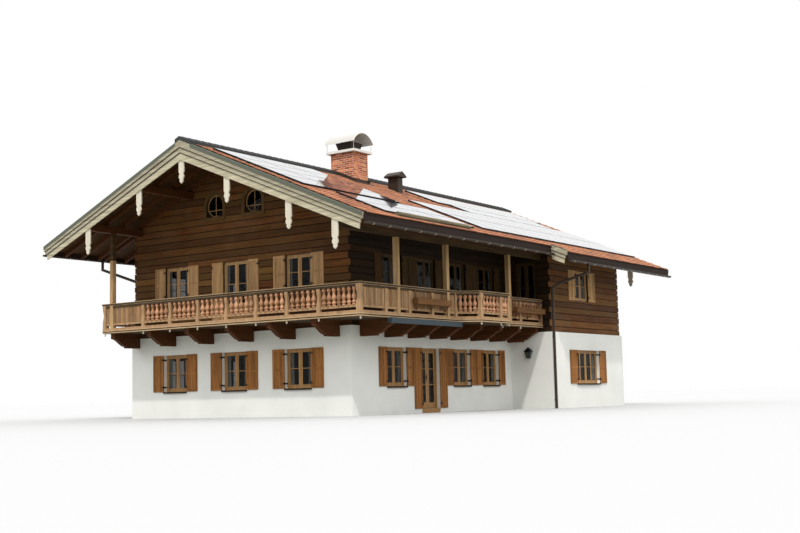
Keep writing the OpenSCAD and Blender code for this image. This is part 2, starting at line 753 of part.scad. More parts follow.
module rail_post(w, top) {
    block(-w / 2, w / 2, -w / 2, w / 2, upper_z, upper_z + rail_gap + bottom_rail);
    intersection() {
        plate_xz(-w / 2, w / 2) post_outline(w, upper_z + rail_gap + bottom_rail, rail_top - rail_thk);
        plate_yz(-w / 2, w / 2) post_outline(w, upper_z + rail_gap + bottom_rail, rail_top - rail_thk);
    }
    block(-w / 2, w / 2, -w / 2, w / 2, rail_top - rail_thk, top);
}

module rail_frame(n) let (len = run_len(n), places = post_places(n)) {
    block(joint_gap, len - joint_gap, -rail_w / 2, rail_w / 2, rail_top - rail_thk, rail_top);
    block(joint_gap, len - joint_gap, -rail_w / 4, rail_w / 4,
        upper_z + rail_gap, upper_z + rail_gap + bottom_rail);
    block(joint_gap, len - joint_gap, 0, rail_w / 2 - rail_setback, upper_z, upper_z + kick_h);
    for (x = places)
        if (x > 0 && x < len) translate([x, 0, 0]) rail_post(rail_w, rail_top);
    if (n == 0) translate([joint_gap + rail_w / 2, 0, 0]) rail_post(rail_w, rail_top);
    if (n == last_run) translate([len - joint_gap - rail_w / 2, 0, 0]) rail_post(rail_w, rail_top);
}

module corner_boxes(grow)
    for (n = [1:last_run])
        translate(rail_points[n])
            block(-corner_w / 2 - grow, corner_w / 2 + grow, -corner_w / 2 - grow, corner_w / 2 + grow,
                upper_z - grow, rail_top + grow);

// Tall posts: place, and level distance from the ridge to the purlin on top.
tall_posts = concat([[-wall_purlin_x, rail_y, wall_purlin_x]],
    [for (y = tall_post_ys) [eave_purlin_x, y, eave_purlin_x]]);

module post_boxes(grow)
    for (p = tall_posts)
        block(p[0] - post_w / 2 - grow, p[0] + post_w / 2 + grow, p[1] - post_w / 2 - grow,
            p[1] + post_w / 2 + grow, upper_z, purlin_top(p[2]) - purlin_h);

module balcony_rails() color(wood_rail) place() {
    difference() {
        for (n = [0:last_run]) along(n) mirror([0, 1, 0]) rail_frame(n);
        post_boxes(0);
        corner_boxes(joint_gap);
    }
    for (n = [1:last_run])
        translate(rail_points[n]) rail_post(corner_w, rail_top);
}

baluster_z = upper_z + rail_gap + bottom_rail;
baluster_h = rail_h - rail_thk - rail_gap - bottom_rail;

// Outline of a baluster, as shares of its radius and height.
baluster_outline = [[0.8, 0], [0.8, 0.05], [0.5, 0.09], [0.88, 0.15], [0.9, 0.21], [0.45, 0.29],
    [1, 0.44], [0.92, 0.54], [0.36, 0.72], [0.55, 0.75], [0.4, 0.79], [0.84, 0.87], [0.84, 0.93],
    [0.6, 1]];

module baluster() rotate_extrude($fn = 24)
    polygon(concat([[0, 0]], [for (p = baluster_outline) [p.x * baluster_r, p.y * baluster_h]],
        [[0, baluster_h]]));

// True where a baluster would stand too near to one of the tall posts.
function near_post(p) = len([for (q = tall_posts)
    if (max(abs(p.x - q[0]), abs(p.y - q[1])) < post_w / 2 + baluster_r + 10) 1]) > 0;

// Stretches of the balustrade that are boarded: the start of the front and the side up to the bay.
function is_boarded(n, i) = n == 2 || (n == 1 && i == 0);

// Places of the balusters between two posts. The slanting runs keep off the square corner posts,
// and the first and last runs end in a post that stands inside the run.
function baluster_places(n, a, b) = let (slanting = n == 3 || n == 5, edge = corner_w / sqrt(2))
    let (from = slanting ? a + edge : n == 0 && a == 0 ? rail_w / 2 : a)
    let (to = slanting ? b - edge : n == last_run && b == run_len(n) ? b - rail_w / 2 : b)
    let (m = ceil((to - from) / baluster_pitch), step = (to - from) / m)
    slanting ? [for (k = [1:m]) from + step * (k - 0.5)] : [for (k = [1:m - 1]) from + step * k];

module balcony_balusters() color(wood_rail) place()
    for (n = [0:last_run]) let (places = post_places(n))
        for (i = [0:len(places) - 2])
            if (!is_boarded(n, i)) for (x = baluster_places(n, places[i], places[i + 1]))
                if (!near_post(run_at(n, x)))
                    along(n) translate([x, 0, baluster_z]) baluster();

module balcony_panels() color(wood_rail) place() difference() {
    for (n = [0:last_run]) let (places = post_places(n))
        for (i = [0:len(places) - 2])
            if (is_boarded(n, i)) along(n)
                block(places[i] + (i == 0 ? corner_w : rail_w) / 2 + joint_gap,
                    places[i + 1] - (i == len(places) - 2 ? corner_w : rail_w) / 2 - joint_gap,
                    -panel_thk / 2, panel_thk / 2, baluster_z, rail_top - rail_thk);
    post_boxes(0);
}

// True below the posts where the awning case leaves no room for a drop.
function is_bare(n, i) = (n == 0 && i == 0) || (n == 2 && i > 0) || (n == 3 && i == 0);

// Turned drops under the floor, below the posts of the rail.
module post_drops() color(wood_rail) place()
    for (n = [0:last_run]) let (places = post_places(n))
        for (i = [0:len(places) - 2])
            if (!is_bare(n, i)) along(n)
                translate([places[i], drop_r + rail_setback - rail_in, deck_z - drop_h - joint_gap])
                    rotate_extrude($fn = 24) polygon([[0, 0], [drop_r * 0.5, drop_h * 0.05],
                        [drop_r, drop_h * 0.35], [drop_r * 0.5, drop_h * 0.65],
                        [drop_r * 0.9, drop_h * 0.85], [drop_r * 0.9, drop_h], [0, drop_h]]);

// Room between the face of the rail and the hangers, for the bellies of the balusters.
hanger_out = baluster_r - rail_w / 2 + 1;

// Open wooden trough on the outside of the rail, on flat hangers with a strut.
module flower_box(y0, len)
    translate([balcony_right - rail_setback + hanger_out, y0, upper_z + box_z]) {
        difference() {
            block(hanger_thk, hanger_thk + box_w, 0, len, 0, box_h);
            block(hanger_thk + box_wall, hanger_thk + box_w - box_wall, box_wall, len - box_wall,
                box_wall, box_h + eps);
        }
        for (y = [hanger_inset, len / 2, len - hanger_inset]) translate([0, y - hanger_w / 2, 0]) {
            block(0, hanger_thk, 0, hanger_w, -strut_h, rail_h - box_z);
            block(-hanger_out, 0, 0, hanger_w, rail_h - rail_thk - box_z, rail_h - box_z);
            translate([0, hanger_w, 0]) rotate([90, 0, 0]) linear_extrude(hanger_w)
                polygon([[0, -strut_h], [hanger_thk + box_w - hanger_w / 4, 0],
                    [hanger_thk + box_w - hanger_w, 0], [0, hanger_w - strut_h]]);
        }
    }

module flower_boxes() color(wood_dark) place()
    for (f = flower_box_runs) flower_box(f[0], f[1]);

// The head beam under the eave purlin rests on the tall posts and ends at the wing.
module head_beam()
    block(eave_purlin_x - post_w / 2, eave_purlin_x + post_w / 2, purlin_y0, return_in,
        purlin_top(eave_purlin_x) - purlin_h - head_beam_h, purlin_top(eave_purlin_x) - purlin_h);

module balcony_posts() color(wood_log) place() {
    post_boxes(0);
    head_beam();
}

module purlins() color(wood_dark) place() purlin_bars(purlin_y0, roof_len - purlin_y0);

// Even places from a to b, no further apart than the rafter spacing.
function spread(a, b) = let (n = ceil((b - a) / rafter_pitch)) [for (i = [0:n]) a + i * (b - a) / n];

wall_clear = 20;
rafter_ys = concat(
    spread(purlin_y0, front_y + log_inset - wall_clear - rafter_w),
    spread(front_y + log_in + wall_clear, return_y + log_inset - wall_clear - rafter_w),
    spread(return_y + log_in + wall_clear, rear_y - log_in - wall_clear - rafter_w),
    spread(rear_y - log_inset + wall_clear, roof_len - purlin_y0 - rafter_w));
ridge_gap = 10;

function eave_at(y) = y > step_from + verge_thk ? eave_right + step_out : eave_right;

module rafter(x1) plate_xz(0, rafter_w)
    polygon([[ridge_gap, deck_under(ridge_gap) - joint_gap], [x1, deck_under(x1) - joint_gap],
        [x1, rafter_under(x1)], [ridge_gap, rafter_under(ridge_gap)]]);

module rafters() color(wood_dark) place() difference() {
    for (y = rafter_ys) translate([0, y, 0]) {
        mirror([1, 0, 0]) rafter(eave_left - fascia_thk);
        rafter(eave_at(y) - fascia_thk);
    }
    block(0, chimney_x + chimney_w + chimney_gap, chimney_y - chimney_gap,
        chimney_y + chimney_d + chimney_gap, 0, tall);
}

module roof_outline(x1)
    polygon([[0, ridge_h], [x1, roof_z(x1)], [x1, deck_under(x1)], [0, deck_under(0)]]);

module roof_left() color([0.72, 0.33, 0.18]) place()
    mirror([1, 0, 0]) plate_xz(verge_thk, roof_len - verge_thk) roof_outline(eave_left);

module roof_right() color([0.72, 0.33, 0.18]) place() difference() {
    union() {
        plate_xz(verge_thk, roof_len - verge_thk) roof_outline(eave_right);
        plate_xz(step_from + verge_thk, roof_len - verge_thk) roof_outline(eave_right + step_out);
    }
    chimney_hole(0, tall);
}

module fascia(x1, y0, y1)
    block(x1 - fascia_thk, x1, y0, y1, deck_under(x1) - fascia_h, deck_under(x1) - joint_gap);

module fascia_boards() color(metal_dark) place() {
    mirror([1, 0, 0]) fascia(eave_left, purlin_y0, roof_len - purlin_y0);
    fascia(eave_right, purlin_y0, step_from);
    fascia(eave_right + step_out, step_from + verge_thk, roof_len - purlin_y0);
}

// Slant of the lower end of a verge board, and how far each end stands back of the one above,
// as a share of the depth.
end_slant = 20;
end_back = 0.3;

// One verge board on the right slope, from depth d0 to d1 under the tiles at the ridge.
module verge_board(x1, d0, d1, y0, y1) let (x = x1 - end_back * d0)
    plate_xz(y0, y1) polygon([[joint_gap, ridge_h - d0], [x, roof_z(x) - verge_taper * d0],
        [x - end_slant, roof_z(x) - verge_taper * d1], [joint_gap, ridge_h - d1]]);

function depth_to(i) = i == 0 ? 0 : verge_depths[i - 1] + depth_to(i - 1);

module verge_side(x1, rows = len(verge_depths))
    for (i = [0:rows - 1])
        verge_board(x1, depth_to(i), depth_to(i + 1), verge_cap_thk + i * verge_step, verge_thk);

module verge_boards() color(verge_grey) place() {
    mirror([1, 0, 0]) verge_side(eave_left);
    verge_side(eave_right);
    translate([0, roof_len, 0]) mirror([0, 1, 0]) {
        mirror([1, 0, 0]) verge_side(eave_left, rear_verge_rows);
        verge_side(eave_right + step_out, rear_verge_rows);
    }
    translate([0, step_from, 0]) intersection() {
        translate([0, 0, step_rise]) verge_side(eave_right + step_out);
        block(eave_right + joint_gap, eave_right + step_out, 0, verge_thk, 0, tall);
    }
}

// Folded sheet over one verge: a strip of width w on the tiles and a drip of depth h in front
// of the boards.
module verge_cap(x0, x1, w = verge_cap_w, h = verge_cap_h) {
    plate_xz(0, verge_cap_thk) polygon([[x0, roof_z(x0) + verge_cap_thk / 2],
        [x1, roof_z(x1) + verge_cap_thk / 2], [x1, roof_z(x1) - h], [x0, roof_z(x0) - h]]);
    plate_xz(0, w) polygon([[x0, roof_z(x0) + joint_gap], [x1, roof_z(x1) + joint_gap],
        [x1, roof_z(x1) + verge_cap_thk], [x0, roof_z(x0) + verge_cap_thk]]);
}

// Depth of the drip of the sheet where the right eave steps out.
step_drip = 20;

module verge_caps() color(metal_dark) place() {
    mirror([1, 0, 0]) verge_cap(ridge_cap_left + joint_gap, eave_left);
    verge_cap(ridge_cap_w + joint_gap, eave_right);
    translate([0, roof_len, 0]) mirror([0, 1, 0]) {
        mirror([1, 0, 0]) verge_cap(ridge_cap_left + joint_gap, eave_left);
        verge_cap(ridge_cap_w + joint_gap, eave_right + step_out);
    }
    translate([0, step_from, step_rise])
        verge_cap(eave_right + joint_gap, eave_right + step_out, verge_thk, step_drip);
}

// Carved edge of a pendant: shares of its half width and of the height of its foot.
pendant_edge = [[1, 1], [0.66, 0.8], [0.95, 0.66], [0.9, 0.48], [0.52, 0.34], [0.66, 0.22], [0.34, 0.08]];

module pendant(x, rise = 0)
    let (top = deck_under(abs(x) + pendant_w / 2),
        tip = roof_z(x) - depth_to(len(verge_depths)) - pendant_drop + rise)
    plate_xz(verge_thk, verge_thk + pendant_thk) translate([x, 0])
        polygon(concat([[-pendant_w / 2, top], [pendant_w / 2, top]],
            [for (p = pendant_edge) [p.x * pendant_w / 2, tip + p.y * pendant_foot]], [[0, tip]],
            [for (i = [len(pendant_edge) - 1:-1:0])
                [-pendant_edge[i].x * pendant_w / 2, tip + pendant_edge[i].y * pendant_foot]]));

module pendant_boards() color([0.85, 0.83, 0.78]) place() {
    for (x = purlin_xs) pendant(x);
    translate([0, roof_len, 0]) mirror([0, 1, 0])
        for (x = purlin_xs) pendant(x, rear_pendant_rise);
}

module ridge_cap() color([0.25, 0.25, 0.26]) place() difference() {
    plate_xz(0, roof_len) polygon(concat(
        [for (x = [-ridge_cap_left, 0, ridge_cap_w]) [x, roof_z(x) + joint_gap]],
        [for (x = [ridge_cap_w, 0, -ridge_cap_left]) [x, roof_z(x) + ridge_cap_h]]));
    chimney_hole(0, tall);
}

module gutter(x1, y0, y1) translate([x1 + gutter_r, y1, deck_under(x1) - gutter_drop]) rotate([90, 0, 0])
    difference() {
        cylinder(r = gutter_r, h = y1 - y0, $fn = 32);
        translate([0, 0, gutter_wall])
            cylinder(r = gutter_r - gutter_wall, h = y1 - y0 - 2 * gutter_wall, $fn = 32);
        block(-gutter_r - eps, gutter_r + eps, 0, gutter_r + eps, -eps, y1 - y0 + eps);
    }

module gutters() color(metal_dark) place() difference() {
    union() {
        mirror([1, 0, 0]) gutter(eave_left, verge_thk, roof_len - verge_thk);
        gutter(eave_right, verge_thk, step_from - joint_gap);
        gutter(eave_right + step_out, step_from + verge_thk, roof_len - verge_thk);
    }
    for (p = [right_pipe, left_pipe]) translate([p[1].x, p[1].y, p[1].z])
        cylinder(r = pipe_r + joint_gap, h = tall, $fn = 24);
}

module rod(a, b, r) let (d = b - a, len = norm(d))
    translate(a) rotate([0, acos(d.z / len), atan2(d.y, d.x)]) cylinder(r = r, h = len, $fn = 24);

// Radius of the bends of a downpipe over that of the pipe.
bend_over = 4;

module pipe_run(points) {
    for (i = [0:len(points) - 2]) rod(points[i], points[i + 1], pipe_r);
    for (i = [1:len(points) - 2]) translate(points[i]) sphere(pipe_r + bend_over, $fn = 32);
}

pipe_off = pipe_r + 10;
right_pipe_x = eave_right + step_out + gutter_r;

// Distance from the corner of the house to each downpipe: at the left wall, at the right eave
// and at the wall of the wing.
corner_to_pipe = [300, 640, 60];
left_pipe_y = front_y + corner_to_pipe[0];
right_pipe_y = return_y + corner_to_pipe[1];
wall_pipe_y = return_y + corner_to_pipe[2];

// Height of the inlet of the downpipe at the eave x1, a little below the rim of the gutter.
inlet_below_rim = 15;
function inlet_z(x1) = deck_under(x1) - gutter_drop - inlet_below_rim;

// Heights of the bends of the swan neck at the rear wing, and the place of its middle bend.
swan_zs = [4930, 4620, 4400];
swan_middle = [wing_right + pipe_off + 300, wall_pipe_y + 250];

// Heights of the bends of the left downpipe.
left_zs = [5450, 4850];

// Bends of each downpipe, from the gutter to the ground.
right_pipe = [[right_pipe_x, right_pipe_y, inlet_z(eave_right + step_out)],
    [right_pipe_x, right_pipe_y, swan_zs[0]], [swan_middle.x, swan_middle.y, swan_zs[1]],
    [wing_right + pipe_off, wall_pipe_y, swan_zs[2]], [wing_right + pipe_off, wall_pipe_y, 0]];
left_pipe = [[-eave_left - gutter_r, left_pipe_y, inlet_z(eave_left)],
    [-eave_left - gutter_r, left_pipe_y, left_zs[0]], [-wall_left - pipe_off, left_pipe_y, left_zs[1]],
    [-wall_left - pipe_off, left_pipe_y, 0]];

// Heights of the wall clips of a downpipe, and their size.
clip_zs = [300, 1500, 2600];
clip_w = 40;

module downpipes() color(metal_dark) place() {
    pipe_run(right_pipe);
    pipe_run(left_pipe);
    for (z = clip_zs) {
        block(wing_right, wing_right + pipe_off, wall_pipe_y - clip_w / 2, wall_pipe_y + clip_w / 2,
            z, z + clip_w);
        block(-wall_left - pipe_off, -wall_left, left_pipe_y - clip_w / 2, left_pipe_y + clip_w / 2,
            z, z + clip_w);
    }
}

// Puts children, drawn flat with x down the slope and y back, on the right slope.
module on_roof() translate([0, 0, ridge_h]) rotate([0, pitch, 0]) children();

// Panel fields: [distance from the ridge, from the front verge, columns, rows, panels upright]
solar_fields = [[900, 600, 3, 4, false], [5000, 1700, 3, 2, false], [3600, 7600, 12, 2, true],
    [1100, 11000, 8, 1, true], [2640, 11850, 4, 1, false]];

module solar_panels() color([0.55, 0.62, 0.70]) place() on_roof()
    for (f = solar_fields, i = [0:f[2] - 1], j = [0:f[3] - 1])
        let (w = f[4] ? solar_short : solar_long, h = f[4] ? solar_long : solar_short)
            translate([f[0] / cos(pitch) + j * (h + solar_gap), f[1] + i * (w + solar_gap), joint_gap])
                cube([h, w, solar_thk]);

module chimney_stack() color([0.62, 0.30, 0.20]) place() difference() {
    block(chimney_x, chimney_x + chimney_w, chimney_y, chimney_y + chimney_d, slab_thk, chimney_top);
    translate([chimney_x + chimney_w / 2 - flue_w / 2, chimney_y + chimney_d / 2 - flue_w / 2, flue_z])
        cube([flue_w, flue_w, tall]);
}

module chimney_slab() color([0.75, 0.75, 0.73]) place() difference() {
    union() {
        block(chimney_x - slab_over, chimney_x + chimney_w + slab_over, chimney_y - slab_over,
        chimney_y + chimney_d + slab_over, chimney_top, chimney_top + cap_thk);
        translate([chimney_x + chimney_w / 2, chimney_y + chimney_d / 2, chimney_top])
            block(-flue_w / 2 - collar_wall, flue_w / 2 + collar_wall, -flue_w / 2 - collar_wall,
                flue_w / 2 + collar_wall, 0, cap_thk + collar_h);
    }
    translate([chimney_x + chimney_w / 2 - flue_w / 2, chimney_y + chimney_d / 2 - flue_w / 2, 0])
        cube([flue_w, flue_w, tall]);
}

collar_wall = 60;
hood_z = chimney_top + cap_thk + hood_rod;

hood_r = (hood_w * hood_w / 4 + hood_rise * hood_rise) / (2 * hood_rise);
hood_len = chimney_w + 2 * hood_over;

// Distance of the rods of the hood from the edges of the slab, and their radius.
rod_edge = [40, 25];
rod_r = 9;
rod_y = chimney_d / 2 + slab_over - rod_edge.y;
rod_top = hood_z - hood_r + hood_rise + sqrt(pow(hood_r - hood_thk / 2, 2) - rod_y * rod_y);

module chimney_hood() color([0.70, 0.71, 0.72]) place()
    translate([chimney_x + chimney_w / 2, chimney_y + chimney_d / 2, 0]) {
        intersection() {
            translate([-hood_len / 2, 0, hood_z - hood_r + hood_rise]) rotate([90, 0, 90]) difference() {
                cylinder(r = hood_r, h = hood_len, $fn = 96);
                translate([0, 0, -eps]) cylinder(r = hood_r - hood_thk, h = hood_len + 2 * eps, $fn = 96);
            }
            block(-hood_len, hood_len, -hood_w, hood_w, hood_z, hood_z + hood_w);
        }
        for (sx = [-1, 1], sy = [-1, 1])
            translate([sx * (chimney_w / 2 + slab_over - rod_edge.x), sy * rod_y, chimney_top + cap_thk])
                cylinder(r = rod_r, h = rod_top - chimney_top - cap_thk, $fn = 16);
    }

vent_top = roof_z(vent_x) + vent_h;

// Thickness of the edge of the cover of the roof vent.
vent_lip = 60;

module roof_vent() color(metal_dark) place() difference() {
    union() {
        block(vent_x - vent_w / 2, vent_x + vent_w / 2, vent_y, vent_y + vent_d,
            roof_z(vent_x + vent_w), vent_top);
        translate([vent_x - vent_w / 2 - vent_over, vent_y + vent_d / 2, vent_top]) rotate([90, 0, 90])
            linear_extrude(vent_w + 2 * vent_over)
                polygon([[-vent_d / 2 - vent_over, -vent_lip / 2], [vent_d / 2 + vent_over, -vent_lip / 2],
                    [vent_d / 2 + vent_over, vent_lip / 2], [0, vent_cap_h],
                    [-vent_d / 2 - vent_over, vent_lip / 2]]);
    }
    plate_xz(0, roof_len)
        polygon([[0, 0], [eave_right, 0], [eave_right, roof_z(eave_right)], [0, ridge_h]]);
}

// Level distance from the eave to the snow guard.
guard_back = 250;

module snow_guard() color([0.55, 0.50, 0.45]) place()
    translate([eave_right - guard_back, guard_y, roof_z(eave_right - guard_back) + guard_r / cos(pitch)])
        rotate([-90, 0, 0]) cylinder(r = guard_r, h = guard_len, $fn = 24);

module awning_cassette() color([0.45, 0.50, 0.55]) place()
    block(balcony_right + awning_out - awning_size, balcony_right + awning_out,
        awning_y, awning_y + awning_len, deck_z - awning_size - joint_gap, deck_z - joint_gap);

// Lantern on the wall beside the terrace: wall plate, arm, square housing that narrows to its
// foot, and pointed roof.
lantern_out = 140;
lantern_w = 210;
lantern_foot_w = 130;
lantern_h = 250;
lantern_roof_w = 270;
lantern_roof_h = 150;
lantern_tip_w = 30;
lantern_plate = [100, 20, 200];
lantern_arm = 24;

// Square block, of width w0 at its foot and w1 at its top.
module tapering(w0, w1, h) rotate([0, 0, 45]) cylinder(d1 = w0 * sqrt(2), d2 = w1 * sqrt(2), h = h, $fn = 4);

module wall_lantern() color([0.12, 0.12, 0.12]) place() translate([lantern_x, return_y, lantern_z]) {
    translate([-lantern_plate.x / 2, -lantern_plate.y, -lantern_plate.z / 2]) cube(lantern_plate);
    block(-lantern_arm / 2, lantern_arm / 2, -lantern_out, -lantern_plate.y,
        -lantern_arm / 2, lantern_arm / 2);
    translate([0, -lantern_out, -lantern_h]) tapering(lantern_foot_w, lantern_w, lantern_h);
    translate([0, -lantern_out, 0]) tapering(lantern_roof_w, lantern_tip_w, lantern_roof_h);
}

ground_slab();
front_wall();
terrace_wall();
terrace_lintel();
return_wall();
wing_wall();
rear_wall();
left_wall();
upper_floor();
log_gable_front();
log_wall_terrace();
log_wall_return();
log_wall_wing();
log_gable_rear();
log_wall_left();
attic_floor();
ground_window_frames();
ground_window_glass();
ground_shutters();
window_sills();
upper_window_frames();
upper_window_glass();
upper_shutters();
terrace_door_frame();
door_leaf_front();
door_leaf_rear();
door_glass_front();
door_glass_rear();
balcony_beams();
balcony_deck();
balcony_rails();
balcony_balusters();
balcony_panels();
balcony_posts();
purlins();
rafters();
roof_left();
roof_right();
fascia_boards();
verge_boards();
pendant_boards();
verge_caps();
ridge_cap();
gutters();
downpipes();
solar_panels();
chimney_stack();
chimney_slab();
chimney_hood();
roof_vent();
snow_guard();
post_drops();
flower_boxes();
awning_cassette();
wall_lantern();
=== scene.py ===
# %% [markdown]
# # An alpine chalet, dressed for its portrait
# The solid model of the house is finished elsewhere: walls, roof, balcony, windows and doors are
# already in place. This lesson adds what makes it look real: tiles, log courses, bricks, turned
# balusters, glazing bars, and a finish for each material. All sizes are metres.

import json
import math
from itertools import pairwise

import bpy
import numpy as np
from mathutils import Matrix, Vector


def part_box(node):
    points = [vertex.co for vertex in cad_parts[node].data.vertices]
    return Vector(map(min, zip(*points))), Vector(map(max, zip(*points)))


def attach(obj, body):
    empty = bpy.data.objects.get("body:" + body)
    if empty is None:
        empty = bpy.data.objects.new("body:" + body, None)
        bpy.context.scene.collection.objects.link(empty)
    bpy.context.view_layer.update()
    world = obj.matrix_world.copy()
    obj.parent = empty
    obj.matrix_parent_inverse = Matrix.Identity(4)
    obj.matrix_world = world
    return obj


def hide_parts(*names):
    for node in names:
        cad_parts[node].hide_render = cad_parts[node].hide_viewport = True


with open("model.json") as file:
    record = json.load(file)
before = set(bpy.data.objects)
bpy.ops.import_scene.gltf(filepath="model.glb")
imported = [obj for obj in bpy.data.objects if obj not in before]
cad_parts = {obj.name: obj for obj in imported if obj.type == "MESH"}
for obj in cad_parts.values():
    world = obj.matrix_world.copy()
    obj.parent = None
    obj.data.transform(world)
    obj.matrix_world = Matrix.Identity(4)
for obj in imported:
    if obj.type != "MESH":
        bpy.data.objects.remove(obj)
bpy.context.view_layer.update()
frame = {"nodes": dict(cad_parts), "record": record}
rng = np.random.default_rng(7)

# %% [markdown]
# ## Camera
# The portrait was taken from a low meadow in front of the right corner. A long straight edge of
# the house gives the heading, the verticals give the tilt, and the spacing of known sizes gives
# the focal length. The camera is turned about the up axis first, then tipped up, then rolled.

# %% Camera
CAMERA_PLACE = (27.189, -37.514, 0.567)
HEADING, TILT, ROLL = 35.155, 6.106, -1.346
FOCAL_LENGTH, SENSOR, FARTHEST = 54.63, 36.0, 3000


def turn(degrees, axis):
    """A rotation by so many degrees about one axis, as a 3 by 3 matrix."""
    return Matrix.Rotation(math.radians(degrees), 3, axis)


lens = bpy.data.cameras.new("camera")
lens.lens = FOCAL_LENGTH
lens.sensor_width = SENSOR
lens.clip_end = FARTHEST
camera = bpy.data.objects.new("camera", lens)
camera.location = CAMERA_PLACE
camera.rotation_euler = (turn(HEADING, "Z") @ turn(90 + TILT, "X") @ turn(ROLL, "Z")).to_euler()
bpy.context.collection.objects.link(camera)
bpy.context.scene.camera = camera
print("camera", camera.location, lens.lens)

# %% [markdown]
# ## Light
# One broad soft lamp stands in for the sun, high in front of the right corner, and the world
# fills the shade like an open sky. Daylight comes from above: hills and woods stand round the
# horizon and a meadow throws little light back. So the world is darker near the horizon, and the
# floor further down is pale to the eye and dull to every other ray.

# %% Light
SUN_POWER, SUN_SOFTNESS, SUN_COLOUR = 1.8, 1.5, (1.0, 0.97, 0.92)
SUN_HEADING, SUN_HEIGHT = 34.0, 56.0
SKY_FILL, HORIZON_FILL = (1.56, 1.58, 1.60, 1.0), (0.30, 0.30, 0.28, 1.0)
HORIZON_TOP, WHITE = (0.10, 0.34), (1, 1, 1, 1)

sun = bpy.data.lights.new("key", "SUN")
sun.energy = SUN_POWER
sun.angle = math.radians(SUN_SOFTNESS)
sun.color = SUN_COLOUR
lamp = bpy.data.objects.new("key", sun)
lamp.rotation_euler = (turn(SUN_HEADING, "Z") @ turn(90 - SUN_HEIGHT, "X")).to_euler()
bpy.context.collection.objects.link(lamp)

world = bpy.data.worlds.new("studio")
bpy.context.scene.world = world
world.use_nodes = True
bpy.context.scene.view_settings.view_transform = "Standard"
print("sun", round(sun.energy, 2))

# %% [markdown]
# ## Shader expressions
# A finish is easier to read as a formula than as a drawing of nodes. `Wire` holds one output
# socket, and arithmetic on it adds the Math nodes. Colours are written as screen values from 0
# to 255.


# %% Wires and colours
def arithmetic(operation, swapped=False):
    """A method that adds the Math node of an operator. The reflected form swaps the two values."""
    def method(self, other):
        return self.math(operation, *((other, self) if swapped else (self, other)))
    return method


class Wire:
    """One output socket. Arithmetic with numbers or other wires adds Math nodes."""

    __add__, __radd__ = arithmetic("ADD"), arithmetic("ADD", swapped=True)
    __sub__, __rsub__ = arithmetic("SUBTRACT"), arithmetic("SUBTRACT", swapped=True)
    __mul__, __rmul__ = arithmetic("MULTIPLY"), arithmetic("MULTIPLY", swapped=True)
    __truediv__, __rtruediv__ = arithmetic("DIVIDE"), arithmetic("DIVIDE", swapped=True)
    __lt__, __gt__ = arithmetic("LESS_THAN"), arithmetic("GREATER_THAN")

    def __init__(self, owner, socket):
        self.owner = owner
        self.socket = socket

    def math(self, operation, *values):
        return self.owner.node("ShaderNodeMath", {"operation": operation}, dict(enumerate(values)))

    def __abs__(self):
        return self.math("ABSOLUTE", self)

    def fraction(self):
        return self.math("FRACT", self)

    def clear(self, low, high):
        """Spreads the values from low to high over the range from 0 to 1, and cuts off the rest."""
        return self.owner.node("ShaderNodeMapRange", {}, {"Value": self, "From Min": low, "From Max": high})


def paint(colour):
    """Screen values from 0 to 255 as the linear colour of a shader. What is linear already stays."""
    if isinstance(colour, Wire) or len(colour) == 4:
        return colour
    screen = np.array(colour) / 255
    linear = np.where(screen <= 0.04045, screen / 12.92, ((screen + 0.055) / 1.055) ** 2.4)
    return (*linear.tolist(), 1.0)


# %% [markdown]
# `Nodes` holds a node tree, with one method that adds any node: it takes the type, the settings
# and what goes into the sockets. `Finish` is the tree of one material. `coat` gives it its colour
# and the height that its surface shows in the light.


# %% Node trees and finishes
class Nodes:
    """A node tree with one method that adds any node."""

    def __init__(self, tree):
        self.tree = tree

    def feed(self, socket, value):
        if isinstance(value, Wire):
            self.tree.links.new(value.socket, socket)
        else:
            socket.default_value = value

    def node(self, kind, settings=None, inputs=None, output=0):
        made = self.tree.nodes.new(kind)
        for key, value in (settings or {}).items():
            setattr(made, key, value)
        for key, value in (inputs or {}).items():
            self.feed(made.inputs[key], value)
        return Wire(self, made.outputs[output])

    def blend(self, factor, first, second):
        """A colour between two colours."""
        inputs = {0: factor, 6: paint(first), 7: paint(second)}
        return self.node("ShaderNodeMix", {"data_type": "RGBA"}, inputs, 2)

    def shade(self, colour, factor):
        """A colour times a number."""
        settings = {"data_type": "RGBA", "blend_type": "MULTIPLY"}
        return self.node("ShaderNodeMix", settings, {0: 1.0, 6: colour, 7: factor}, 2)


